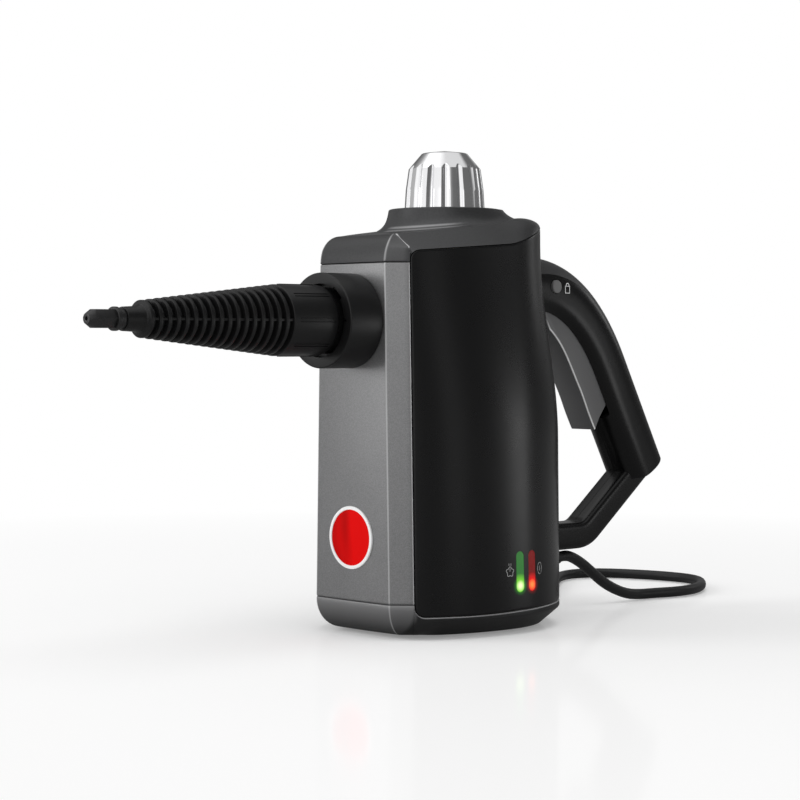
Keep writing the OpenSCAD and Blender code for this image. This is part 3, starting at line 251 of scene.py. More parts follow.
def smooth_line(points, parts):
    line, last = [], len(points) - 1
    for i in range(last):
        a, b, c, d = (np.array(points[max(0, min(last, i + k))], float) for k in (-1, 0, 1, 2))
        for t in (j / parts for j in range(parts)):
            line.append(0.5 * (2 * b + (c - a) * t + (2 * a - 5 * b + 4 * c - d) * t * t
                               + (3 * b - a - 3 * c + d) * t ** 3))
    return line + [np.array(points[last], float)]


def bez(a, b, c, t):
    return (1 - t) ** 2 * a + 2 * t * (1 - t) * b + t * t * c


def unit(way):
    return way / np.linalg.norm(way)


coil_start, coil_end = coil_point(0), np.array(coil_point(2 * coil_turns))
lead_points = [sleeve_point(d) for d in (-20, 0, 20, sleeve_len + 1)]
lead_points += [(0, y, z) for y, z in (
    (107, sleeve_z + 1.5), (114, sleeve_z - 0.8), (122, sleeve_z - 5), (131, 20.5), (141, 14),
    (152, 8.8), (164, 5))]
lead_points += [(x, y, floor_z) for x, y in (
    (-0.5, 177), (2.5, 189), (6, 202), (6.5, 215), (3.5, 228), (-2.5, 241), (-12, 254), (-23, 265),
    (-37, 272), (-52, 273), (-67, 271), (-81, 267), (-95, 261), (-107, 251), (-112, 236),
    (-108, 220), (-98, 204), (-85, 188), (-71, 170), (-57, 151))]
lead_points += [(-47, 134, floor_z + 0.3), (coil_start[0] + 1.6, 119, coil_z),
                (coil_start[0], coil_start[1] + cord_d, coil_z)]
end_turn = 2 * pi * 2 * coil_turns
out_dir = np.array((-sin(end_turn), -cos(end_turn), 0))
out_side = np.array((cos(end_turn), -sin(end_turn), 0))
tail_a = coil_end + cord_d * out_dir
tail_b, tail_c = tail_a + 18 * out_dir, tail_a + 34 * out_dir + 11 * out_side
plug_dir = unit(tail_c - tail_b)
coil_steps = round(48 * coil_turns)
cord_line = smooth_line(lead_points, 3)
cord_line += [np.array(coil_point(2 * coil_turns * i / coil_steps)) for i in range(coil_steps + 1)]
cord_line += [bez(tail_a, tail_b, tail_c, k / 6) for k in range(7)] + [tail_c + 5 * plug_dir]


def named(name):
    """The primitive just added, under its own name."""
    piece = bpy.context.object
    piece.name = piece.data.name = name
    return piece


def new_grid(name, cols, rows, spot, edge=None):
    """Grid with each point where spot puts its column and row; edge marks where a highlight is painted."""
    clear_selection()
    bpy.ops.mesh.primitive_grid_add(x_subdivisions=len(cols) - 1, y_subdivisions=len(rows) - 1, size=1)
    piece = named(name)
    items = [[line[round((share + 0.5) * (len(line) - 1))] for line, share in zip((cols, rows), vert.co)]
             for vert in piece.data.vertices]
    for vert, item in zip(piece.data.vertices, items):
        vert.co = spot(*item)
    if edge:
        painted_highlight = piece.data.attributes.new("painted_highlight", "FLOAT", "POINT")
        for mark, item in zip(painted_highlight.data, items):
            mark.value = edge(*item)
    return piece


def shares(count):
    return [k / count for k in range(count + 1)]


def edit(piece, *steps):
    """Edit-mode operators, each with its settings and run on the whole mesh."""
    take(piece)
    bpy.ops.object.mode_set(mode="EDIT")
    for operator, settings in steps:
        bpy.ops.mesh.select_all(action="SELECT")
        operator(**settings)
    bpy.ops.object.mode_set(mode="OBJECT")


outward = (bpy.ops.mesh.normals_make_consistent, {"inside": False})


def close_up(piece, gap=2e-6):
    edit(piece, (bpy.ops.mesh.remove_doubles, {"threshold": gap}), outward)


def smooth(piece, angle=35):
    take(piece)
    bpy.ops.object.shade_smooth_by_angle(angle=radians(angle))


def swept(name, line, radius, sides):
    line = [np.array(p, float) for p in line]
    span, side, rings = len(line) - 1, np.array((0.0, 0.0, 1.0)), []
    for i, point in enumerate(line):
        ahead = unit(line[min(span, i + 1)] - line[max(0, i - 1)])
        side = unit(side - side.dot(ahead) * ahead)
        rings.append((point, side, np.cross(side, ahead)))

    def spot(u, ring):
        point, up, across = ring
        return at(*(point + radius * (cos(2 * pi * u) * across + sin(2 * pi * u) * up)))

    piece = new_grid(name, shares(sides), rings, spot)
    close_up(piece)
    edit(piece, (bpy.ops.mesh.fill_holes, {"sides": 0}), outward)
    smooth(piece)
    return piece


pvc = Finish("cord_pvc", (0.009, 0.009, 0.0095), Specular_IOR_Level=0.35)
pvc.grain(0.36, (0.14, 160), bump=(900, 2, 0.05, 0.0002))
cord = swept("mains_cord", cord_line, cord_r, 16)
cord.data.materials.append(pvc.material)
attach(cord, "housing")
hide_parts("cord", "cord_coil", "cord_tail")
cord_length = sum(float(np.linalg.norm(b - a)) for a, b in zip(cord_line, cord_line[1:])) * 0.001

# Housing outline. A soft oval with a waist, cut off flat in front with a bevel at each corner.
# The two side panels are 2.6 mm mouldings in satin black, screwed to the base from below.
body_front, corner, wall, seam = 73.2, 10.0, 2.6, 0.3
cover_low, cover_top, shell_low, shell_top = 19.8, 210.3, 12.8, 217.0
low_z, high_z, top_rear = 15.0, 225.0, 60.0
body_w, head_w, face_w, face_head_w = 123.0, 102.0, 61.3, 54.0
pinch_start, pinch_span, pinch_share, rear_lean = 0.4524, 0.5333, 0.88, 0.37
mid_low, mid_high = 5.0, 4.0
rim_front, rim_rear, rim_crest, crest_len = 0.077, 0.167, 3.7, 40.0


def mix(a, b, t):
    return a + (b - a) * t


def ease(t):
    t = min(1.0, max(0.0, t))
    return t * t * (3 - 2 * t)


def waist(z):
    rise = (z - low_z) / (high_z - low_z)
    return rise, mix(rise, ease((rise - pinch_start) / pinch_span), pinch_share)


def half_width(z):
    return mix(body_w, head_w, sum(waist(z)) / 2) / 2


def rear_bow(z):
    rise, pinch = waist(z)
    return mix(body_rear - mid_low, top_rear - mid_high, (1 + rear_lean) * pinch - rear_lean * rise)


def middle(z):
    return mix(mid_low, mid_high, waist(z)[1])


def face_half(z):
    return mix(face_w, face_head_w, (z - cover_low) / (cover_top - cover_low)) / 2


def corner_share(z):
    return (face_half(z) + corner) / half_width(z)


def front_bow(z):
    return (body_front - corner + middle(z)) / sqrt(1 - corner_share(z) ** 2)


def first_angle(z):
    return -acos(corner_share(z))


def side_spot(z, a, inset=0.0):
    deep = front_bow(z) if a < 0 else rear_bow(z)
    out = np.array((deep * cos(a), half_width(z) * sin(a)))
    return (np.array((half_width(z) * cos(a), middle(z) + deep * sin(a)))
            - inset * unit(out))


def around(z, f, inset=0.0):
    """Point of the side, f of the way from the front corner to the middle of the rear."""
    return side_spot(z, mix(first_angle(z), pi / 2, f), inset)


def crease_spot(z, inset=0.0):
    return np.array((face_half(z) - inset * tan(pi / 8), -body_front + inset))


def corner_spot(z, inset=0.0):
    bevel = np.array((1, -1)) / sqrt(2)
    side = side_spot(z, first_angle(z)) - side_spot(z, first_angle(z), 1)
    middle_way = unit(bevel + side)
    return (np.array((face_half(z) + corner, -body_front + corner))
            - middle_way * inset / middle_way.dot(bevel))


def panel_angle(z, f):
    return mix(first_angle(z) + radians(0.35), pi / 2 - asin(seam / 2 / half_width(z)), f)


def shell_rim(y):
    back = y - mid_high
    slope = rim_front if back < 0 else rim_rear
    return shell_top + 5 + slope * back + rim_crest * ease(back / crest_len)


def foot_line(y):
    return shell_low + 2 * ease((y + 30) / 80)


def roll(d, e):
    return e - sqrt(max(0.0, e * e - (e - d) ** 2)) if d < e else 0.0


def round_corner(x, y, r):
    if x >= r or y >= r:
        return x, y, min(x, y)
    deep_x, deep_y = r - x, r - y
    far, share = max(deep_x, deep_y), min(deep_x, deep_y) / max(deep_x, deep_y)
    swing = pi / 4 * share
    near, cross = far * cos(swing), far * sin(swing)
    return (r - near, r - cross, r - far) if deep_x > deep_y else (r - cross, r - near, r - far)


panel_span, panel_edge, panel_foot_r, panel_head_r = 165.0, 0.7, 5.5, 4.8
near_edge = [0, 0.1, 0.3, 0.7, 1.3, 2.1, 3.2, 4.4, 5.5]
panel_cols = near_edge + list(np.linspace(8.5, panel_span - 3, 50)) + [
    panel_span - d for d in (1.6, 0.7, 0.3, 0.1, 0)]
panel_rows = 58


def head_y(x):
    """Depth of the panel at its head, x along from the front edge."""
    return side_spot(shell_top, panel_angle(shell_top, x / panel_span))[1]


def panel_place(side, x, row):
    y_at = head_y(x)
    foot, height = foot_line(y_at), shell_rim(y_at) - foot_line(y_at)
    if row < 9:
        y = near_edge[row]
    elif row > panel_rows - 9:
        y = height - near_edge[panel_rows - row]
    else:
        y = mix(5.5, height - 5.5, (row - 8) / (panel_rows - 16))
    x, y, d = round_corner(x, y, panel_foot_r)
    x, up, e = round_corner(x, height - y, panel_head_r)
    y, d = height - up, min(d, e, panel_span - x)
    z = foot + y
    spot = side_spot(z, panel_angle(z, x / panel_span), roll(d, panel_edge))
    return at(side * max(seam / 2, spot[0]), spot[1], z)


def fit_modifier(piece, kind, **settings):
    take(piece)
    modifier = piece.modifiers.new(kind.lower(), kind)
    for key, value in settings.items():
        setattr(modifier, key, value)
    bpy.ops.object.modifier_apply(modifier=modifier.name)


def wall_up(piece, thickness, even=True):
    fit_modifier(piece, "SOLIDIFY", thickness=thickness * 0.001, offset=-1, use_even_offset=even)


def cut(piece, *cutters):
    for cutter in cutters:
        fit_modifier(piece, "BOOLEAN", operation="DIFFERENCE", solver="MANIFOLD", object=cutter)
        bpy.data.objects.remove(cutter)


def face_away(piece, centre=(0, 0, 120)):
    """Flip an open shell whose faces look towards the centre."""
    hub = at(*centre)
    if sum(face.area * face.normal.dot(face.center - hub) for face in piece.data.polygons) < 0:
        edit(piece, (bpy.ops.mesh.flip_normals, {}))


def finish_piece(piece, finish, slot=None, *nodes, body="housing", angle=35):
    smooth(piece, angle)
    piece.data.materials.clear()
    piece.data.materials.append(finish.material)
    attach(piece, body)
    if nodes:
        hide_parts(*nodes)
    return piece


def pill(name, x0, x1, y, z0, z1, width):
    """Bar with round ends, on end, that runs across the width from x0 to x1."""
    rad = width / 2
    clear_selection()
    bpy.ops.mesh.primitive_cylinder_add(vertices=64, radius=1, depth=1)
    piece = named(name)
    for vert in piece.data.vertices:
        dy, dz = vert.co.x * rad, vert.co.y * rad
        far = 1 if dz > 1e-6 else 0
        vert.co = at(mix(x0, x1, vert.co.z + 0.5), y + dy, (z1 - rad if far else z0 + rad) + dz)
    close_up(piece)
    return piece


lens_low, lens_high, lens_y, lens_w = 23.6, 47.0, (0.9, 10.9), 6.2
diode_x, diode_up = 61.1, 3.7
satin_black = Finish("panel_black", (0.0035, 0.0035, 0.0038), Specular_IOR_Level=0.34)
satin_black.grain(0.24, (0.05, 55), (0.03, 1400), bump=(2300, 3, 0.05, 0.0001))


def glow_reach(finish, y):
    """Distance from the diode behind the foot of the lamp at y."""
    return finish.node("ShaderNodeVectorMath", {"operation": "DISTANCE"}, out="Value",
                       _0=finish.place(), _1=at(diode_x, y, lens_low + diode_up))


halo_green, halo_red = (1 - glow_reach(satin_black, y).ramp(0.0026, 0.0062) for y in lens_y)
halo = satin_black.blend(halo_green * halo_green * 0.6, (0, 0, 0, 1), (0.05, 0.5, 0.04, 1))
satin_black.feed("Emission Color", satin_black.blend(halo_red * halo_red * 0.6, halo, (0.5, 0.01, 0.01, 1)))
satin_black.shader.inputs["Emission Strength"].default_value = 1.0
for side, name, node in ((1, "panel_right", "right_shell"), (-1, "panel_left", "left_shell")):
    panel = new_grid(name, panel_cols, range(panel_rows + 1), partial(panel_place, side))
    face_away(panel)
    wall_up(panel, 2.3)
    if side > 0:
        cut(panel, *[pill("window", 50, 70, y, lens_low, lens_high, lens_w) for y in lens_y])
    finish_piece(panel, satin_black, "shell_black", node)

# Front cover: one flat moulding with a bevel down each side, in grey metallic lacquer with a
# fine flake. It clips between the base and the top and is bored for the steam outlet.
bevel_len, fillet, lip, front_crown = corner * sqrt(2), 1.1, 0.8, 0.8
nozzle_z, outlet_hole = 178.0, 7.2
half_across = [("face", w) for w in (0, 0.25, 0.5, 0.72, 0.88)]
half_across += [("bend", t) for t in (0, 0.2, 0.4, 0.6, 0.8, 1)]
half_across += [("bevel", mix(fillet, bevel_len - lip, t)) for t in (0.25, 0.5, 0.75, 1)]
half_across += [("bevel", bevel_len - d) for d in (0.45, 0.2, 0.06, 0)]


def front_spot(kind, t, z, inset, edge_roll=lip):
    crease, edge = crease_spot(z, inset), corner_spot(z, inset)
    if kind == "face":
        w = t / 0.94
        return np.array(((crease[0] - fillet) * w, crease[1] - front_crown * (1 - w ** 2)))
    if kind == "bend":
        return bez(crease - (fillet, 0), crease, crease + fillet * (edge - crease) / bevel_len, t)
    drop = roll(bevel_len - t, edge_roll) if edge_roll else 0.0
    return mix(crease_spot(z, inset + drop), corner_spot(z, inset + drop), t / bevel_len)


def both_sides(half):
    """A row across from the half of it that starts at the middle."""
    return [(-1, *item) for item in reversed(half[1:])] + [(1, *item) for item in half]


across = both_sides(half_across)
cover_edge = 0.6
cover_rows = [(cover_low + d, roll(d, cover_edge)) for d in (0, 0.06, 0.2, 0.6, 1.0)]
cover_rows += [(z, 0) for z in np.linspace(cover_low + 4, cover_top - 4, 30)]
cover_rows += [(cover_top - d, roll(d, cover_edge)) for d in (1.0, 0.6, 0.2, 0.06, 0)]


def cover_place(col, row):
    x, y = front_spot(*col[1:], *row)
    return at(col[0] * x, y, row[0])


def cover_highlight_mark(col, row):
    """Painted highlight where the crease is, and along the lip beside the panel."""
    _, kind, t = col
    if kind == "bend":
        return 0.5 if 0.3 < t < 0.7 else 0.0
    return 1.0 if kind == "bevel" and bevel_len - 0.5 < t < bevel_len - 0.01 else 0.0


def rod(name, start, end, radius, sides=48):
    start, end = at(*start), at(*end)
    clear_selection()
    bpy.ops.mesh.primitive_cylinder_add(vertices=sides, radius=radius * 0.001, depth=(end - start).length)
    piece = named(name)
    turned = (end - start).to_track_quat("Z", "Y").to_matrix().to_4x4()
    turned.translation = (start + end) / 2
    piece.data.transform(turned)
    return piece


def flaked(name, metal, tones, dark, light, rough, spread):
    """Metallic lacquer with a fine flake, with highlights painted pale on its creases."""
    finish = Finish(name, light[:3], Metallic=metal)
    cells = finish.node("ShaderNodeTexVoronoi", {"feature": "F1"}, out="Color", Vector=finish.place(),
                        Scale=2600.0)
    tone = finish.node("ShaderNodeSeparateColor", Color=cells)
    base_tone, flake_share, cloud_size = tones
    grains = finish.blend(base_tone + flake_share * tone + 0.25 * finish.noise(cloud_size), dark, light)
    # Painted highlight: pale grey where the mesh marks creases and lips.
    finish.paint(finish.painted_highlight(), grains, (0.8, 0.8, 0.81, 1))
    finish.grain(rough + spread * tone, (0.04, 70))
    finish.bump(tone, 0.06, 0.0001)
    return finish


lacquer = flaked("cover_lacquer", 0.7, (0.2, 0.55, 30), (0.175, 0.175, 0.178, 1),
                 (0.31, 0.31, 0.314, 1), 0.28, 0.08)
cover = new_grid("front_panel", across, cover_rows, cover_place, cover_highlight_mark)
face_away(cover)
wall_up(cover, 2.4)
cut(cover, rod("bore", (0, -80, nozzle_z), (0, -66, nozzle_z), outlet_hole))
finish_piece(cover, lacquer, "cover_paint", "front_cover")

# Base: a tray in the same grey lacquer. Its front edge is rounded under, the sides are cut away
# below a narrow upright rim, and the rim follows the rounded lower corner of each panel.
foot_h, base_round, base_cut, band_low = 1.2, 14.5, 11.0, 10.6
base_gap, base_lip = 0.35, 0.8
base_half = [("front", item) for item in half_across[:-4]] + [("front", ("bevel", bevel_len))]
base_half += [("side", x) for x in (0.1, 0.35, 0.8, 1.5, 2.4, 3.5, 4.7, 6.1)]
base_half += [("side", x) for x in np.linspace(9, panel_span, 44)]


def base_rim(kind, item):
    if kind == "front":
        return cover_low - seam
    y_at = head_y(item)
    arc, low = panel_foot_r + base_gap, foot_line(y_at) - base_gap
    if item < arc:
        return low + arc - sqrt(max(0.0, arc * arc - (arc - item) ** 2))
    return low


def base_section(kind, item, k):
    rim, share = base_rim(kind, item), 0 if kind == "front" else ease(item / 16)
    floor_inset = mix(base_round, base_cut, share) + wall
    top = [(floor_inset, foot_h + wall), (mix(floor_inset, wall, 0.5), mix(foot_h + wall, rim, 0.5)),
           (wall, rim), (base_lip, rim)]
    top += [(roll(d, base_lip), rim - d) for d in (0.06, 0.2, 0.45)]
    if k < len(top):
        return top[k]
    t = (k - len(top)) / 12
    swing = t * pi / 2
    front = (base_round * (1 - cos(swing)), mix(rim - base_lip, foot_h, sin(swing)))
    band, start = min(1, t / 0.2), min(rim - base_lip, band_low)
    side = ((0, mix(rim - base_lip, start, band)) if t < 0.2 else
            (base_cut * (t - 0.2) / 0.8, mix(start, foot_h, (t - 0.2) / 0.8)))
    return mix(front[0], side[0], share), mix(front[1], side[1], share)


base_sections = 20
base_around = both_sides(base_half)
base_shrink = {0: 0.0, 1: 0.6, base_sections + 2: 0.93, base_sections + 3: 0.55, base_sections + 4: 0.0}


def base_place(col, row):
    side, kind, item = col
    inset, z = base_section(kind, item, min(base_sections - 1, max(0, row - 2)))
    x, y = front_spot(*item, z, inset, 0) if kind == "front" else around(z, item / panel_span, inset)
    shrink = base_shrink.get(row, 1.0)
    return at(side * x * shrink, y * shrink, z)


def base_highlight_mark(col, row):
    """Painted highlight along the lip under the panels and down the front creases."""
    _, kind, item = col
    if kind == "side" and 5 <= row <= 8:
        return 0.55
    if kind == "front" and item[0] == "bend" and 0.3 < item[1] < 0.7 and row > 6:
        return 0.4
    return 0.0


base_lacquer = Finish("base_lacquer", (0.1, 0.1, 0.102), Metallic=0.5, Specular_IOR_Level=0.25)
# Painted light and shade: the front of the tray is painted pale grey, darker towards the floor, and its sides
# and underside near-black.
front_share = 1 - base_lacquer.place(1).ramp(-0.0305, -0.0285)
lit = base_lacquer.place(2).ramp(0.001, 0.019) * front_share
painted_light_and_shade = base_lacquer.blend(lit, (0.03, 0.03, 0.0305, 1), (0.25, 0.25, 0.253, 1))
# Painted highlight: pale grey where the mesh marks the lip and the front creases.
base_lacquer.paint(base_lacquer.painted_highlight(), painted_light_and_shade, (0.7, 0.7, 0.71, 1))
base_lacquer.grain(0.36, (0.08, 1800), bump=(2600, 2, 0.06, 0.0001))
base = new_grid("base_tray", base_around, range(base_sections + 5), base_place, base_highlight_mark)
close_up(base)
corners = [(x, y) for x in (-1, 1) for y in (-1, 1)]
screw_x, screw_y, foot_x, foot_y = 20.5, 35.5, 30, 26
cut(base, *[rod("recess", (x * screw_x, y * screw_y, 0), (x * screw_x, y * screw_y, 5), 3.6)
            for x, y in corners])
finish_piece(base, base_lacquer, "cover_paint", "base_shell", angle=32)

# Feet: four soft black rubber pads pressed into the base.
rubber = Finish("foot_rubber", (0.016, 0.016, 0.016), Roughness=0.75)
rubber.bump(rubber.noise(1500), 0.2, 0.0002)


def rounded(points, parts=4):
    """Outline with the corners that carry a third number eased by that much."""
    out = []
    for i, point in enumerate(points):
        if len(point) < 3:
            out.append(tuple(point))
            continue
        here = np.array(point[:2], float)
        start, end = (here + (there - here) * min(0.5, point[2] / max(1e-6, np.linalg.norm(there - here)))
                      for there in (np.array(points[j % len(points)][:2], float) for j in (i - 1, i + 1)))
        out += [tuple(bez(start, here, end, k / parts)) for k in range(parts + 1)]
    return out


def turned_piece(name, points, steps=96, axis="z", centre=(0, 0, 0), parts=4):
    """Closed outline of (radius, height) spun round an axis; along -Y the height is the reach."""
    outline = rounded(points, parts)
    clear_selection()
    bpy.ops.mesh.primitive_circle_add(vertices=len(outline), radius=1)
    piece = named(name)
    for vert, (radius, height) in zip(piece.data.vertices, outline):
        spot = (radius, 0, height) if axis == "z" else (radius, -height, 0)
        vert.co = at(*(np.array(centre) + spot))
    edit(piece, (bpy.ops.mesh.spin, {"steps": steps, "angle": 2 * pi, "center": at(*centre),
                                     "axis": (0, 0, 1) if axis == "z" else (0, 1, 0)}))
    close_up(piece)
    return piece


def joined(name, pieces):
    clear_selection()
    for piece in pieces:
        piece.select_set(True)
    bpy.context.view_layer.objects.active = pieces[0]
    bpy.ops.object.join()
    pieces[0].name = pieces[0].data.name = name
    return pieces[0]


foot_outline = [(0, 1.25), (5, 1.25), (5, 0.0, 0.5), (3.6, 0.0), (3.2, 0.35), (0, 0.35)]
feet = [turned_piece("foot", foot_outline, 40, "z", (x * foot_x, y * foot_y, 0)) for x, y in corners]
finish_piece(joined("rubber_feet", feet), rubber, "foot_rubber", "feet")

# Top shell: dark grey metallic moulding over the boiler. Its front rolls over from the cover,
# a sloping band runs round both sides to a level deck, and a collar rises round the filler.
deck_h, deck_slope, deck_edge, deck_tip = 233.8, radians(6.45), 39.5, (23.0, -body_front + 12.6)
deck_end, crown = 50.0, 1.5
collar_h, collar_d = 243.5, 66.2
deck_front_bow = (mid_high - deck_tip[1]) / sqrt(1 - (deck_tip[0] / deck_edge) ** 2)
deck_rear_bow, deck_first = deck_end - mid_high, -acos(deck_tip[0] / deck_edge)
top_z = cover_top + seam
band_cols = [0, 0.15, 0.5, 1.1, 2.0, 3.2, 5.2] + list(np.linspace(8.5, panel_span, 43))


def deck_z(y):
    return deck_h + tan(deck_slope) * y + crown * sin(pi * ease(y / deck_end))


def on_deck(spot, drop=0.0):
    return np.array((spot[0], spot[1], deck_z(spot[1]) - drop))


def deck_spot(a, inset=0.0):
    deep = deck_front_bow if a < 0 else deck_rear_bow
    out = np.array((deep * cos(a), deck_edge * sin(a)))
    return np.array((deck_edge * cos(a), mid_high + deep * sin(a))) - inset * unit(out)


def lifted(spot, z):
    return np.array((spot[0], spot[1], z))


def band_low_edge(x, inset=0.0):
    f, arc = x / panel_span, panel_head_r + seam
    y_at = around(shell_top, f)[1]
    z = shell_rim(y_at) + seam
    if x < arc:
        z -= arc - sqrt(max(0.0, arc * arc - (arc - x) ** 2))
    return lifted(around(z, f, inset), z)


def tip_spot(k):
    return on_deck((deck_tip[0] - 0.25 * k, deck_tip[1] - 0.4 * k))


def top_row(t, inset=0.0):
    """One half of a ring over the top, from the front centre to the rear; t runs up the form."""
    up, over = sin(pi / 2 * t), 1 - cos(pi / 2 * t)
    slope = max(0.0, (up - 0.5) / 0.5)
    side = max(0.2 * t, slope)
    crease, edge = lifted(crease_spot(top_z, inset), top_z), lifted(corner_spot(top_z, inset), top_z)
    share = np.array((over * over, over, up))
    front = crease + (tip_spot(2) - crease) * share
    bevel = edge + (tip_spot(1) - edge) * np.array((slope, slope, up))
    ring = [front * (w, 1, 1) - (0, front_crown * (1 - over) * (1 - w * w / 0.9), 0)
            for w in (0, 0.3, 0.6, 0.85)]
    lean = bevel - front
    ease_in = min(1.0, 0.4 * np.linalg.norm(lean)) * lean / max(1e-6, np.linalg.norm(lean))
    start, end = front - (min(1.0, front[0] * 0.1), 0, 0), front + ease_in
    ring += [bez(start, front, end, w) for w in (0, 0.25, 0.5, 0.75, 1)]
    ring += [mix(end, bevel, w) for w in (0.35, 0.7, 0.93, 1)]
    for x in band_cols:
        low, high = band_low_edge(x, inset), on_deck(deck_spot(mix(deck_first, pi / 2, x / panel_span)))
        swell = ease((x / panel_span - 0.36) / 0.25)
        out, rise = (mix(side, curve, swell) for curve in (1 - cos(pi / 2 * side),
                                                           sin(pi / 2 * side)))
        ring.append(low + (high - low) * (out, out, rise))
    return ring


# Painted highlight: the share of pale line for each column of the half ring.
half_highlights = 4 * [0] + [0, 0.2, 0.4, 0.2, 0.05, 0.05, 0.05, 0.05, 1.0]
half_highlights += [1.0, 0.9, 0.3] + [0] * (len(band_cols) - 3)


def top_highlight_mark(col, row):
    """Painted highlight down the creases, along the ridge between front and side, and at the collar's foot.
    """
    way, col = way_in[col], min(col, 2 * len(half_highlights) - 2 - col)
    if row in (27, 29):
        turned = degrees(atan2(way[0], -way[1]))
        return 0.35 * ease((turned + 20) / 12) * ease((66 - turned) / 20)
    return half_highlights[col] if (3 if col < 11 else 9) <= row <= 20 else 0.0


def whole_ring(half):
    return half + [point * (-1, 1, 1) for point in reversed(half[:-1])][:-1]


deck_round = 1.1
top_steps = [(0, 0.5), (0.004, 0.12), (0.012, 0.0)] + [(k / 20, 0.0) for k in range(1, 19)]
top_rings = [whole_ring(top_row(t, inset)) for t, inset in top_steps]
deck_ring = whole_ring(top_row(1))
way_in = [unit(point[:2]) for point in deck_ring]
rim_in = [on_deck(point[:2] - deck_round * way) for point, way in zip(deck_ring, way_in)]
for w in (0.25, 0.5, 0.75, 1):
    top_rings.append([bez(a, b, c, w) for a, b, c in zip(top_rings[20], deck_ring, rim_in)])

# The collar flares into the deck, and its rim turns down into a well round the filler neck.
flare, flare_h = 7.7, 3.2
well_r, neck_clear, well_z, cr = collar_d / 2 - 7.1, 15.5, collar_h - 13.5, collar_d / 2
flares = [min(flare, np.linalg.norm(point[:2]) - cr - 0.1) for point in rim_in]
top_rings.append([on_deck(mix(point[:2], way * (cr + out), 0.5))
                  for point, way, out in zip(rim_in, way_in, flares)])


def collar_wall(share, way, out):
    foot = deck_z(way[1] * (cr + out))
    up = share * (collar_h - foot)
    radius = cr - 0.4 + 1.5 * (1 - share) + (out - 1.1) * exp(-up / flare_h)
    return lifted(way * radius, foot + up)


for share in (0, 0.05, 0.11, 0.18, 0.26, 0.35, 0.45, 0.56, 0.68, 0.8, 0.9, 0.95):
    top_rings.append([collar_wall(share, way, out) for way, out in zip(way_in, flares)])
for radius, z in ((cr - 0.55, collar_h - 0.2), (cr - 0.95, collar_h - 0.03), (cr - 1.4, collar_h),
                  (well_r + 1.2, collar_h), (well_r + 0.35, collar_h - 0.35), (well_r, collar_h - 1.2),
                  (well_r, well_z + 1.2), (well_r - 0.35, well_z + 0.35), (well_r - 1.2, well_z),
                  (neck_clear, well_z), (neck_clear, well_z - wall), (well_r + wall, well_z - wall)):
    top_rings.append([lifted(way * radius, z) for way in way_in])
top_rings.append([on_deck(point[:2] - 2 * way, wall) for point, way in zip(rim_in, way_in)])
top_rings.append([point * (0.93, 0.93, 1) for point in top_rings[1]])


trim_lacquer = flaked("top_lacquer", 0.6, (0.15, 0.6, 28), (0.04, 0.0405, 0.0415, 1),
                      (0.07, 0.0705, 0.0725, 1), 0.34, 0.1)
top = new_grid("top_cover", [*range(len(deck_ring)), 0], [*range(len(top_rings)), 0],
               lambda col, row: at(*top_rings[row][col]), top_highlight_mark)
close_up(top)
finish_piece(top, trim_lacquer, "trim_dark", "top_shell", angle=28)

# Outlet bezel: black plastic bell round the steam outlet, with a lip that holds the nozzle's
# two bayonet lugs, a key slot for each of them and a notch that shows the locked position.
bezel_d, bezel_len, nozzle_d = 53.5, 24.5, 39.3
nozzle_axis = (0, 0, nozzle_z)
bz0, bz1 = body_front + 0.1, body_front + bezel_len
lug_r, barrel_r, lip_f = nozzle_d / 2 + 1.2, nozzle_d / 2 - 1.5, body_front + 16.1


def moulded(name, shade_of, shine_of, rough=0.31):
    finish = Finish(name, (shade_of, shade_of, shade_of * 1.05), Specular_IOR_Level=shine_of)
    finish.grain(rough, (0.07, 120), (0.05, 1800), bump=(1700, 3, 0.1, 0.00012))
    return finish


black = moulded("moulded_black", 0.0055, 0.36)
bezel = turned_piece("outlet_bezel", [
    (outlet_hole, bz0), (bezel_d / 2 - 1.2, bz0, 0.5), (bezel_d / 2, bz0 + 0.8, 0.6),
    (bezel_d / 2, bz1 - 0.5, 0.3), (bezel_d / 2 - 0.5, bz1, 0.3), (lug_r - 0.4, bz1, 0.25),
    (lug_r + 0.6, bz1 - 1.2, 0.3), (lug_r + 0.6, bz1 - 3.2, 0.5), (lug_r + 0.6, lip_f + 3.2),
    (barrel_r + 0.4, lip_f + 3), (barrel_r + 0.4, lip_f), (lug_r + 0.4, lip_f), (lug_r + 0.4, bz0 + 8),
    (outlet_hole, bz0 + 8)], 128, "reach", nozzle_axis)


def swung(x, z, by):
    return x * cos(by) - z * sin(by), x * sin(by) + z * cos(by)


def block(name, low, high, angle=0):
    """Box between two corners, swung round the nozzle's axis."""
    clear_selection()
    bpy.ops.mesh.primitive_cube_add(size=1)
    piece = named(name)
    low, high = np.array(low, float), np.array(high, float)
    for vert in piece.data.vertices:
        spot = low + (high - low) * (np.array(vert.co) + 0.5)
        x, up = swung(spot[0], spot[2] - nozzle_z, radians(angle))
        vert.co = at(x, spot[1], nozzle_z + up)
    return piece


lug_half, key_half = 4.0, 4.4
key_low = (barrel_r - 2, -bz1 - 1, nozzle_z - key_half)
key_high = (lug_r + 1.1, -lip_f + 1, nozzle_z + key_half)
keys = [block("key", key_low, key_high, a) for a in (45, 225)]
notch = rod("notch", (lug_r + 0.6, -bz1 + 3.4, nozzle_z), (lug_r + 0.6, -bz1 - 1, nozzle_z), 1.5, 3)
cut(bezel, *keys, notch)
finish_piece(bezel, black, "black_matte", "bezel")

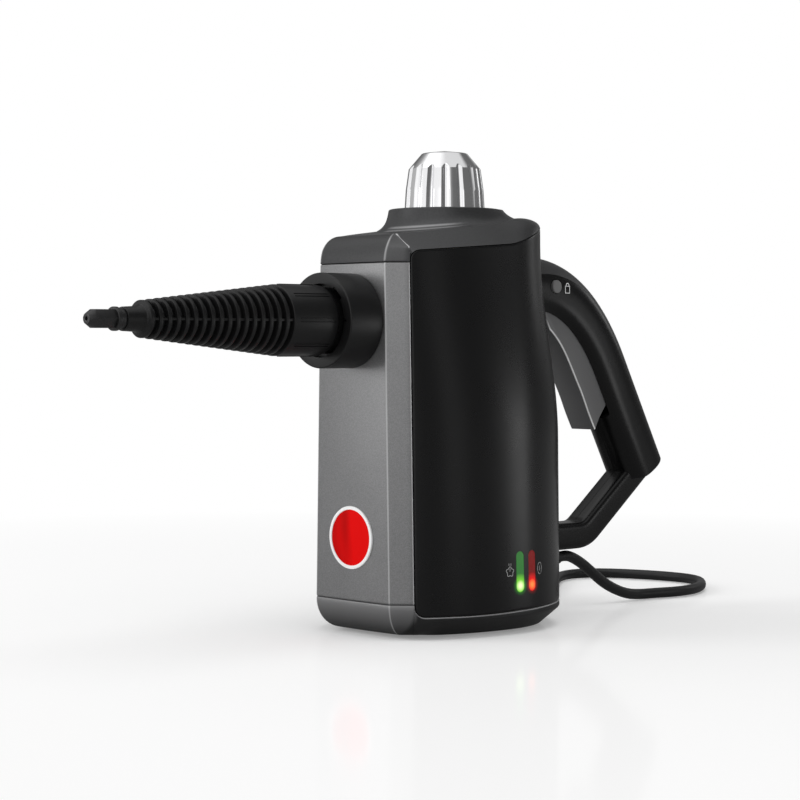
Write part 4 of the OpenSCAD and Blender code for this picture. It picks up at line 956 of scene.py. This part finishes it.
# Jet nozzle: a tapered black moulding on a brass tube. A plain grip with raised lines comes
# first, then eighteen ribs for insulation, joined by webs, and a neck with a steam jet.
nozzle_reach, rib_count, last_rib_r = 254.8, 18, 9.95
nz0, grip_f0, ribs_f0, ribs_f1 = body_front + 10.2, body_front + 26.8, body_front + 58, nozzle_reach - 34.7
neck_f1, nr = nozzle_reach - 22, nozzle_d / 2
pitch = (ribs_f1 - ribs_f0) / (rib_count - 1)


def rib_r(f):
    return mix(nr, last_rib_r, (f - ribs_f0) / (ribs_f1 - ribs_f0))


outline = [(15, nz0), (barrel_r, nz0), (barrel_r, grip_f0 - 1.2), (nr - 0.9, grip_f0 - 0.6, 0.5),
           (nr, grip_f0 + 0.8, 0.6), (nr, ribs_f0 + 0.9, 0.5)]
for i in range(1, rib_count):
    f = ribs_f0 + i * pitch
    outline += [(rib_r(f) - 3.0, f - pitch + 1.3, 0.5), (rib_r(f) - 3.0, f - 1.4, 0.5),
                (rib_r(f), f - 1.1, 0.25), (rib_r(f), f + 0.9, 0.25)]
outline += [(7.6, ribs_f1 + 1.6, 0.6), (6.7, neck_f1 - 8, 1.5), (6.3, neck_f1, 0.4), (4.05, neck_f1),
            (4.05, neck_f1 - 14), (7, ribs_f1 - 10), (14.95, ribs_f0 - 4)]
cone = turned_piece("nozzle_body", outline, 96, "reach", nozzle_axis, 3)
extras = []
for a in (0, 90, 180, 270):
    web = block("web", (0, -ribs_f1, nozzle_z - 0.7), (1, -ribs_f0, nozzle_z + 0.7))
    for vert in web.data.vertices:
        deep, y, z = mm(vert)
        x, up = swung(rib_r(-y) - (0.9 if deep > 0.5 else 6), z - nozzle_z, radians(a))
        vert.co = at(x, y, nozzle_z + up)
    extras.append(web)
line_low, line_high = (nr - 1, -ribs_f0 + 3.5, nozzle_z - 0.3), (nr + 0.4, -grip_f0 - 3, nozzle_z + 0.3)
extras += [block("line", line_low, line_high, a + lean) for a in range(0, 360, 45) for lean in (-2.7, 2.7)]
lug_low = (barrel_r - 1, -bz0 - 15.6, nozzle_z - lug_half)
lug_high = (lug_r, -bz0 - 11.2, nozzle_z + lug_half)
extras += [block("lug", lug_low, lug_high, a) for a in (0, 180)]
for extra in extras:
    fit_modifier(extra, "BEVEL", width=0.0002, segments=2)
finish_piece(joined("nozzle_body", [cone] + extras), black, "black_matte", "nozzle_cone", body="nozzle")

# Steam jet: a hexagonal plastic tip behind a stop collar, drilled 2.3 mm, screwed in the neck.
jet_af, jet_bore = 9.6, 2.3
hex_f0 = neck_f1 + 5.9
jet = turned_piece("steam_jet", [
    (jet_bore / 2, neck_f1 - 3.8), (4, neck_f1 - 3.8), (4, neck_f1 + 0.1), (5.4, neck_f1 + 0.1, 0.2),
    (5.4, neck_f1 + 3.1), (6.3, neck_f1 + 3.1, 0.5), (6.3, hex_f0, 0.6), (4.4, hex_f0 + 0.1),
    (4.4, neck_f1 + 7), (jet_bore / 2, neck_f1 + 7)], 64, "reach", nozzle_axis)
clear_selection()
bpy.ops.mesh.primitive_cylinder_add(vertices=6, radius=jet_af / sqrt(3), depth=1)
tip = named("tip")
for vert in tip.data.vertices:
    up, x, far = vert.co
    vert.co = at(x, -(nozzle_reach if far > 0 else hex_f0), nozzle_z + up)
cone_cut = turned_piece("cone_cut", [
    (jet_af, nozzle_reach - 8), (jet_af, nozzle_reach + 2), (0.3, nozzle_reach + 2),
    (jet_af * 0.3, nozzle_reach), (jet_af * 0.6, nozzle_reach - 4.6)], 64, "reach", nozzle_axis)
close_up(tip)
drill = rod("drill", (0, -neck_f1 - 2, nozzle_z), (0, -nozzle_reach - 2, nozzle_z), jet_bore / 2)
cut(tip, cone_cut, drill)
fit_modifier(tip, "BEVEL", width=0.0003, segments=2, limit_method="ANGLE", angle_limit=radians(25))
jet_black = moulded("jet_black", 0.011, 0.5)
finish_piece(joined("steam_jet", [jet, tip]), jet_black, "black_matte", "jet_tip", body="nozzle")

# Screw cap: chrome-plated moulding with sixteen hollow flutes, on a brass plug with a
# relief valve inside. The plating is smooth and bright, a little cloudy in the flutes.
cap_d, cap_top, flute_count = 48.0, 278.0, 16
skirt_z, cap_r = well_z + 6, cap_d / 2
land_z, land_r, dome_r = cap_top - 11, cap_r - 2.8, 13.3
cap_outline = rounded([
    (0, cap_top - 6), (dome_r - 2.2, cap_top - 6), (cap_r - 4.5, land_z - 3), (cap_r - 4.5, skirt_z),
    (cap_r - 0.6, skirt_z, 0.4), (cap_r, skirt_z + 1, 0.6), (cap_r - 1.1, land_z - 12),
    (land_r, land_z, 0.3), (dome_r, cap_top - 1.6, 0.8), (0, cap_top)], 5)
flute_deep, flute_half, flute_phase, lean_in = 1.7, 0.25, 0.42, (cap_r - 1.1 - land_r) / 12


def cap_place(u, k):
    radius, z = cap_rows[k]
    if k > 4 and z < cap_top - 2:
        wave = abs((u * flute_count + flute_phase) % 1 - 0.5) / flute_half
        hollow = flute_deep * max(0.0, 1 - wave ** 1.5) * ease((z - skirt_z + 0.6) / 0.8)
        if hollow > 0:
            radius = min(radius, (radius if z < land_z else land_r - lean_in * (z - land_z)) - hollow)
    return at(radius * cos(2 * pi * u), radius * sin(2 * pi * u), z)


cap_rows = cap_outline[:4]
for a, b in zip(cap_outline[3:], cap_outline[4:]):
    steps = max(1, round(dist(a, b) / (0.4 if a[1] >= land_z - 0.5 else 1.6)))
    cap_rows += [(mix(a[0], b[0], k / steps), mix(a[1], b[1], k / steps)) for k in range(1, steps + 1)]
chrome = Finish("cap_chrome", (0.84, 0.84, 0.85), Metallic=1.0)
chrome.grain(0.1, (0.05, 60), (0.03, 900))
chrome.paint(chrome.noise(45), (0.8, 0.8, 0.81, 1), (0.88, 0.88, 0.89, 1))
cap = new_grid("screw_cap", shares(flute_count * 16), range(len(cap_rows)), cap_place)
close_up(cap)
finish_piece(cap, chrome, "chrome_cap", "cap_knob", angle=30, body="cap")

# Handle: a closed loop in two satin black halves, split down the middle and screwed together.
# The grip curves over from the rear wall and leans out; a thin arm carries its foot back.
grip_w, grip_deep, grip_square, grip_z, grip_lean = 31.0, 35.7, 2.45, 200.0, radians(29)
arm_w, arm_deep, arm_z, arm_slope, trigger_w = 19.0, 16.9, 46.0, radians(38), 20.2
straight_len = 71.6
grip_dir = np.array((sin(grip_lean), -cos(grip_lean)))
grip_p0 = np.array((top_rear + 6, grip_z))
grip_p1 = grip_p0 + (41.7, 0)
grip_p2 = grip_p1 + 57.1 * grip_dir
grip_end = grip_p2 + straight_len * grip_dir
arm_dir = np.array((cos(arm_slope), sin(arm_slope)))
arm_p0 = np.array((body_rear + 37.4, arm_z))
arm_p1, arm_end = arm_p0 + (7, 0), grip_end + 12 * arm_dir
arm_p2 = arm_p1 + 7 * arm_dir


def bez_way(a, b, c, t):
    return unit((1 - t) * (b - a) + t * (c - b))


def out_of(way):
    return np.array((-way[1], way[0]))


def oval(t, a, h, n):
    c, s = cos(t), sin(t)
    return np.array((a * copysign(abs(c) ** (2 / n), c), h * copysign(abs(s) ** (2 / n), s)))


def rear_wall(x, z):
    return middle(z) + rear_bow(z) * sqrt(1 - (x / half_width(z)) ** 2)


def rim_curve(y):
    """Slanted foot of the grip: two straight lines with an eased corner."""
    y = y - grip_end[0]
    gentle, steep = 0.1 * y - 7.2, 0.616 * y - 4.5
    return grip_end[1] + max(gentle, steep) + 0.6 * exp(-abs(gentle - steep) / 1.2)


def at_rim(q, back):
    p, run = grip_end + q[1] * out_of(grip_dir), 0.0
    for _ in range(6):
        run = (rim_curve(p[0] + run * grip_dir[0]) - p[1]) / grip_dir[1]
    return p + (run - back) * grip_dir


def spine_edge(t):
    return radians(np.interp(t * 11, (0, 6, 7, 8, 9), (17, 33, 52, 76, 90)))


grip_steps = [("wall", 0)] + [("bend", k / 33) for k in range(2, 34)]
grip_steps += [("straight", k / 12) for k in range(1, 12)]
grip_steps += [("rim", s) for s in ((1.0, 1.2), (1.0, 0.5), (0.985, 0.12), (0.95, 0), (0.8, 0))]


def grip_spot(kind, s, q):
    if kind == "wall":
        return np.array((rear_wall(q[0], grip_z + q[1]) + seam, grip_z + q[1]))
    if kind == "bend":
        return bez(grip_p0, grip_p1, grip_p2, s) + q[1] * out_of(bez_way(grip_p0, grip_p1, grip_p2, s))
    if kind == "straight":
        return grip_p2 + grip_dir * straight_len * s + q[1] * out_of(grip_dir)
    return at_rim(q * (1, s[0]), s[1])


def grip_place(side, u, step):
    kind, s = step
    last = spine_edge(s) if kind == "bend" else spine_edge(0) if kind == "wall" else pi / 2
    q = oval(mix(-pi / 2, last, u), grip_w / 2, grip_deep / 2, grip_square)
    if kind == "rim":
        q = q * (s[0], 1)
    y, z = grip_spot(kind, s, q)
    return at(side * max(seam / 2, q[0]), y, z)


arm_steps = [None, (np.array((body_rear + 12, arm_z)), np.array((1.0, 0.0)))]
arm_steps += [(bez(arm_p0, arm_p1, arm_p2, k / 14), bez_way(arm_p0, arm_p1, arm_p2, k / 14))
              for k in range(15)]
arm_steps += [(arm_end, arm_dir)]


def arm_place(side, u, step):
    q = oval(mix(-pi / 2, pi / 2, u), arm_w / 2, arm_deep / 2, 5)
    y, z = ((rear_wall(q[0], arm_z + q[1]) + seam, arm_z + q[1]) if step is None
            else step[0] + q[1] * out_of(step[1]))
    return at(side * max(seam / 2, q[0]), y, z)


def side_prism(name, x0, x1, points):
    """Flat outline of (y, z) points, given a thickness across the width."""
    clear_selection()
    bpy.ops.mesh.primitive_circle_add(vertices=len(points), radius=1, fill_type="NGON")
    piece = named(name)
    for vert, (y, z) in zip(piece.data.vertices, points):
        vert.co = at(x0, y, z)
    thick = {"value": ((x1 - x0) * 0.001, 0, 0)}
    edit(piece, (bpy.ops.mesh.extrude_region_move, {"TRANSFORM_OT_translate": thick}), outward)
    return piece


pivot = np.array((top_rear + 16, grip_z - 11))
lock_at, lock_d = pivot + (3.6, 10.6), 8.5


def grip_at(down, deep):
    return grip_p2 + grip_dir * down + out_of(grip_dir) * (deep - grip_deep / 2)


slot_points = [pivot - (7, 19), (pivot[0] - 7, grip_z - grip_deep / 2 + 6),
               (pivot[0] + 15, grip_z - grip_deep / 2 + 3), grip_at(-34, 9.5), grip_at(-5, 8),
               grip_at(21, 8), grip_at(26.5, 2), grip_at(29.5, -20)]
screw_at = [grip_at(44, grip_deep / 2), grip_p0 + (33, -3)]
far_off = 9000
grip_black = moulded("grip_black", 0.003, 0.3, 0.2)
for side, name, node in ((1, "grip_right", "handle_right"), (-1, "grip_left", "handle_left")):
    grip = new_grid(name, shares(30), grip_steps, partial(grip_place, side))
    arm = new_grid("arm", shares(24), arm_steps, partial(arm_place, side))
    for part in (grip, arm):
        face_away(part, (-side * far_off, 0, 0))
        wall_up(part, 2, False)
    cut(grip, side_prism("slot", -side, side * (trigger_w / 2 + 0.4), slot_points),
        rod("lock_hole", (0, *lock_at), (side * grip_w, *lock_at), lock_d / 2 + 0.1))
    if side < 0:
        cut(grip, *[rod("screw_hole", (-grip_w, *p), (-grip_w / 2 + 6, *p), 3) for p in screw_at])
    finish_piece(joined(name, [grip, arm]), grip_black, "black_matte", node, angle=40)

# Spine: a grey trim strip let in along the back of the grip, ending in a point.
spine_steps = [("wall", 0)] + [("bend", k / 44) for k in range(2, 34)]


def spine_place(u, step):
    kind, s = step
    start = spine_edge(s) + radians(0.9)
    q = oval(mix(start, pi - start, u), grip_w / 2, grip_deep / 2, grip_square)
    y, z = grip_spot(kind, s, q)
    return at(q[0], y, z)


grey = Finish("spine_grey", (0.03, 0.03, 0.031))
grey.grain(0.38, (0.1, 90), bump=(1700, 3, 0.1, 0.00012))
spine = new_grid("grip_spine", shares(26), spine_steps, spine_place)
face_away(spine, (0, 100, 150))
wall_up(spine, 2.1, False)
finish_piece(spine, grey, "spine_grey", "handle_spine", angle=40)

# Trigger: a grey moulded channel on a steel pin. Its finger face is proud, with a crease
# on each side, and a lug behind pushes the valve rod.
front_points, tip_points, back_points = ([pivot + p for p in points] for points in (
    ((4.4, -15.3), (9.4, -19.6), (14.8, -25.4), (20.6, -33.6), (28.3, -46.4), (34, -56), (39.9, -67.6),
     (45.9, -78)),
    ((50, -70.5), (55.1, -63.8), (58.4, -59)),
    ((49, -41.5), (33, -16.5), (21, -6), (10, -1), (3.5, 3.5), (-3.6, 2.5), (-4, -3), (0.5, -8))))
trigger_outline = smooth_line(front_points, 4) + tip_points + back_points
trigger = side_prism("trigger", -trigger_w / 2, trigger_w / 2, trigger_outline)
fit_modifier(trigger, "BEVEL", width=0.0009, segments=3, limit_method="ANGLE", angle_limit=radians(50))
# Painted highlight: points along the edge between the finger face and each flank carry a pale line.
painted_highlight, front_line = trigger.data.attributes.new("painted_highlight", "FLOAT", "POINT"), smooth_line(front_points, 24)
for vert, mark in zip(trigger.data.vertices, painted_highlight.data):
    x, *here = mm(vert)
    from_front = min(np.linalg.norm(here - p) for p in front_line)
    mark.value = 1.0 if 0.05 < trigger_w / 2 - abs(x) < 0.85 and from_front < 0.85 else 0.0
lug = side_prism("lug", -3, 3, [pivot + p for p in (
    (-3.9, 0), (3.9, 0), (-4.5, 13.8), (-8.5, 13.8), (-8.5, 6))])
finger_y = lock_at[0] + lock_d / 2 - 0.25 + 1.6
finger = side_prism("finger", -2.4, 2.4, [(finger_y, pivot[1] - 2), (finger_y + 4, pivot[1] - 3.5),
                                          (finger_y + 4, lock_at[1] + 2), (finger_y, lock_at[1] + 2)])
trigger_grey = Finish("trigger_grey", (0.085, 0.085, 0.087))
# Painted highlight: near-white where that edge line is marked.
trigger_grey.paint(trigger_grey.painted_highlight(), (0.1, 0.1, 0.102, 1), (0.85, 0.85, 0.85, 1))
trigger_grey.grain(0.38, (0.1, 90), bump=(1700, 3, 0.12, 0.00012))
finish_piece(joined("trigger", [trigger, lug, finger]), trigger_grey, "trigger_grey", "trigger",
             body="trigger")

# Lock: a cross-bolt that slides through the grip, with a domed grey end on the right.
lock_r = lock_d / 2 - 0.25
lock = turned_piece("lock_bolt", [
    (0, -grip_w / 2 + 3), (lock_r, -grip_w / 2 + 3, 0.4), (lock_r, -3.4, 0.2), (2, -3.4), (2, 3.4),
    (lock_r, 3.4, 0.2), (lock_r, grip_w / 2 + 1.5, 0.9), (0, grip_w / 2 + 1.5)], 48)
for vert in lock.data.vertices:
    x, y, z = mm(vert)
    vert.co = at(z, lock_at[0] + y, lock_at[1] - x)
bolt_grey = Finish("bolt_grey", (0.13, 0.13, 0.13))
bolt_grey.grain(0.4, (0.1, 400), bump=(1500, 3, 0.12, 0.0001))
finish_piece(lock, bolt_grey, "lock_grey", "lock_button", body="lock")

# Signs: a padlock beside the bolt, and a steam cloud and a mains sign beside the lamps.
# Each is a thin line of pale ink printed on the plastic, here 0.05 mm proud.
def printed(name, dark, light):
    finish = Finish(name, [light] * 3, Roughness=0.6)
    dark, light = (dark, dark, dark, 1), (light, light, light, 1)
    finish.paint(finish.noise(900), dark, light)
    return finish


def ink_line(points, width, spot, closed=True):
    count = len(points)

    def place(i, v):
        prev = points[(i - 1) % count] if closed or i else points[i]
        after = points[(i + 1) % count] if closed or i < count - 1 else points[i]
        way = np.array(after, float) - prev
        way /= max(1e-9, np.linalg.norm(way))
        here = np.array(points[i], float) + out_of(way) * width * v
        return at(*spot(*here))

    line = new_grid("sign", [*range(count)] + closed * [0], (-0.5, 0.5), place)
    close_up(line, 1e-7)
    face_away(line, (-far_off, 0, 0))
    fit_modifier(line, "SOLIDIFY", thickness=0.00008, offset=0)
    return line


def on_panel(y, z):
    for a in np.linspace(-0.5, 0.9, 141):
        spot = side_spot(z, a, -0.03)
        if spot[1] >= y:
            return spot[0], y, z


def on_grip(y, z):
    return grip_w / 2 + 0.02, y, z


def ring_points(mid, half_y, half_z, count=40, lobes=0, depth=0.0):
    return [(mid[0] + half_y * (1 + depth * cos(lobes * a)) * sin(a),
             mid[1] + half_z * (1 + depth * cos(lobes * a)) * cos(a))
            for a in (2 * pi * k / count for k in range(count))]


cloud, mains, lock_mid, thin = (-7.1, 35.7), (18.1, 36.1), np.array((90.0, 198.2)), 0.34
panel_signs = [ink_line(points, thin, on_panel) for points in (
    ring_points(cloud, 2.5, 2.5, 80, 5, 0.16), ring_points(mains, 2.0, 3.3))]
panel_signs += [ink_line([(mid[0] + y, mid[1] + low), (mid[0] + y, mid[1] + high)], thin, on_panel, False)
                for mid, y, low, high in ((cloud, -0.75, 3.5, 4.8), (cloud, 0.75, 3.5, 4.8),
                                          (cloud, 0, 0.2, 2.0), (mains, 0, -1.4, 1.4))]
finish_piece(joined("panel_signs", panel_signs), printed("pale_ink", 0.36, 0.46))
box = [lock_mid + p for p in ((-1.9, -2.3), (1.9, -2.3), (1.9, 1.9), (-1.9, 1.9))]
arch = [(-1.25 * cos(a), 2.4 + 1.25 * sin(a)) for a in np.linspace(0, pi, 9)]
shackle = [lock_mid + p for p in [(-1.25, 1.9), *arch, (1.25, 1.9)]]
grip_signs = [ink_line(box, 0.55, on_grip), ink_line(shackle, 0.5, on_grip, False)]
finish_piece(joined("padlock_sign", grip_signs), printed("white_ink", 0.72, 0.84))

# Lamps: two light guides with round ends, flush in the right panel. A diode behind the foot
# of each one makes it glow there and fade upwards.
for y, hue, tint, hot, core in (
        (lens_y[0], "green", (0.02, 0.17, 0.022), (0.22, 0.7, 0.02), (1.0, 1.0, 0.6)),
        (lens_y[1], "red", (0.18, 0.002, 0.002), (0.9, 0.005, 0.005), (1.0, 0.28, 0.06))):
    lens = pill("lamp_" + hue, 53, 66, y, lens_low + 0.12, lens_high - 0.12, lens_w - 0.24)
    for vert in lens.data.vertices:
        if vert.co.x > 0.06:
            vert.co.x = on_panel(*mm(vert)[1:])[0] * 0.001 - 0.0001
    guide = Finish("lamp_" + hue, tint, Emission_Strength=1.0, Specular_IOR_Level=0.3)
    far = glow_reach(guide, y)
    warm = guide.blend(1 - far.ramp(0.002, 0.0072), (*[c * 0.3 for c in tint], 1), (*hot, 1))
    guide.feed("Emission Color", guide.blend(1 - far.ramp(0.0008, 0.0034), warm, (*core, 1)))
    guide.grain(0.27, (0.06, 300), bump=(300, 2, 0.03, 0.0001))
    finish_piece(lens, guide, hue + "_lamp", hue + "_lens")

# Badge: a plain red enamel disc with a raised white rim, set on the front cover.
badge_d, badge_z, badge_rim_w, badge_set = 35.7, 55.4, 2.0, 0.42
badge_at = (0, -body_front - badge_set, badge_z)
enamel = Finish("badge_enamel", (0.6, 0.002, 0.002), Specular_IOR_Level=0.08)
# Painted sheen: the red is painted lighter and darker in tall streaks.
painted_sheen_streaks = enamel.noise(60.0, 1.0, enamel.node("ShaderNodeMapping", Vector=enamel.place(), Scale=(1, 1, 0.25)))
enamel.paint(painted_sheen_streaks.ramp(0.38, 0.6), (0.34, 0.0, 0.0, 1), (0.78, 0.001, 0.001, 1))
enamel.grain(0.16, (0.06, 200))
disc = turned_piece("badge_disc", [
    (0, 0.05), (badge_d / 2 - 1.9, 0.05), (badge_d / 2 - 1.9, 0.7), (badge_d / 2 - 2.9, 0.72), (0, 0.95)],
    96, "reach", badge_at)
finish_piece(disc, enamel, "badge_red", "badge")
rim_white = Finish("badge_rim", (0.92, 0.92, 0.92))
rim_white.grain(0.26, (0.08, 300))
ring = turned_piece("badge_rim", [
    (badge_d / 2 - badge_rim_w, 0.05), (badge_d / 2, 0.05), (badge_d / 2, 1.1, 0.4),
    (badge_d / 2 - badge_rim_w, 1.1, 0.4)], 96, "reach", badge_at)
finish_piece(ring, rim_white)

# Cord sleeve: a tapered black PVC strain relief with flexing grooves, held in the rear wall.
sleeve_points = [(cord_r + 0.05, -6), (8, -6), (8, -3.2), (5, -3.2), (5, 0.6), (5.6, 0.9, 0.3),
                 (5.6, 3, 0.3)]
for k in range(5):
    low, high, z = 4.6 - k / 5, 5.4 - k / 5, 4 * k
    sleeve_points += [(low, z + 4.2, 0.3), (low, z + 5.6, 0.3), (high, z + 6.0, 0.3), (high, z + 7.8, 0.3)]
sleeve_points += [(cord_r + 0.9, sleeve_len, 0.5), (cord_r + 0.05, sleeve_len)]
sleeve = turned_piece("cord_sleeve", sleeve_points, 40, parts=3)
cos_a, sin_a = cos(sleeve_tilt), sin(sleeve_tilt)
for vert in sleeve.data.vertices:
    x, y, z = mm(vert)
    vert.co = at(x, body_rear + z * cos_a - y * sin_a, sleeve_z + z * sin_a + y * cos_a)
close_up(sleeve)
finish_piece(sleeve, pvc, "cord_black", "strain_relief")

# Plug: moulded black PVC body with finger grips and three brass pins, and the tie of the coil.
plug_at = tail_c + 5.05 * plug_dir
plug_side = np.array((-plug_dir[1], plug_dir[0], 0))
plug_h = 2 * (coil_z + lay_h) - 0.4
plug_sections = [(0, 0.0, 0.0, 2), (0, 4.0, 4.0, 2), (3, 4.3, 4.3, 2), (8, 5.3, 5.2, 2), (13, 6.3, 6.0, 2),
                 (16.5, 7.4, 6.9, 2.4), (18.5, 10.5, 8.6, 3.5), (20, 12.0, 9.8, 4), (22, 12.5, plug_h / 2, 5),
                 (31, 12.3, plug_h / 2, 5), (39, 12.5, plug_h / 2, 5), (41, 12.3, plug_h / 2 - 0.3, 5),
                 (41.9, 11.5, plug_h / 2 - 1, 4.5), (41.9, 6, 5, 4), (41.9, 0.0, 0.0, 4)]


def plug_place(u, section):
    d, wide, high, n = section
    q = oval(2 * pi * u, wide, high, n)
    return at(*(plug_at + d * plug_dir + q[0] * plug_side + (0, 0, q[1])))


plug = new_grid("plug_moulding", shares(48), plug_sections, plug_place)
close_up(plug)
finish_piece(plug, pvc, "cord_black", "plug_body", angle=50)
tie_strap = Finish("tie_strap", (0.02, 0.02, 0.021), Roughness=0.7)
tie_strap.bump(tie_strap.noise(1200), 0.3, 0.0002)
tie_in, tie_out = coil_r - coil_pitch * coil_turns - cord_r - 2, coil_r + cord_r + 1
tie_high, tie_t = coil_z + lay_h + cord_r + 1.2, 0.8
tie_path = rounded([(tie_in, 0.05, 3), (tie_out, 0.05, 3), (tie_out, tie_high, 3),
                    (tie_in, tie_high, 3)], 6)
tie = new_grid("coil_tie", tie_path + tie_path[:1], shares(4),
               lambda p, v: at(coil_mid[0] - 4 + 8 * v, coil_mid[1] + p[0], p[1]))
close_up(tie, 1e-7)
wall_up(tie, tie_t, False)
finish_piece(tie, tie_strap, "black_matte", "coil_tie", angle=50)
[tuple(at(*p)) for p in cord_line]

# Inner parts keep their plain solids: boiler castings, brass fittings, steel fixings, wires,
# seals and nylon. Each family gets the finish of its material.
inner = [
    (("boiler_lower", "boiler_upper"), (0.60, 0.60, 0.62), 0.48, 0.9, 900),
    (("filler_neck", "valve_body", "outlet_spigot", "tube_nuts", "nozzle_tube", "cap_plug", "plug_pins"),
     (0.72, 0.52, 0.22), 0.30, 1.0, 400),
    (("steam_tube",), (0.75, 0.42, 0.28), 0.32, 1.0, 500),
    (("housing_screws", "handle_screws", "boiler_bolts", "boiler_bracket", "heating_element",
      "valve_plunger", "trigger_pin", "valve_spring", "relief_spring", "trigger_spring"),
     (0.58, 0.58, 0.60), 0.35, 1.0, 700),
    (("cap_seal", "nozzle_seal"), (0.28, 0.05, 0.03), 0.6, 0.0, 600),
    (("boiler_gasket", "neck_seal"), (0.06, 0.06, 0.065), 0.7, 0.0, 600),
    (("terminal_block", "cord_clamp", "push_rod"), (0.75, 0.75, 0.72), 0.45, 0.0, 500),
    (("thermostat", "thermal_fuse"), (0.80, 0.78, 0.70), 0.3, 0.0, 400),
    (("lamp_board",), (0.03, 0.16, 0.06), 0.4, 0.0, 800),
    (("relief_poppet",), (0.70, 0.25, 0.08), 0.45, 0.0, 500)]
for nodes, colour, rough, metal, grain in inner:
    stock = Finish("stock_" + nodes[0], colour, Metallic=metal)
    dull, bright = (*[c * 0.88 for c in colour], 1), (*colour, 1)
    stock.paint(stock.noise(grain / 4), dull, bright)
    stock.grain(rough - 0.05, (0.12, grain), bump=(grain * 2, 2, 0.12, 0.0001))
    for node in nodes:
        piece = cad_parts[node]
        piece.data.materials.clear()
        piece.data.materials.append(stock.material)
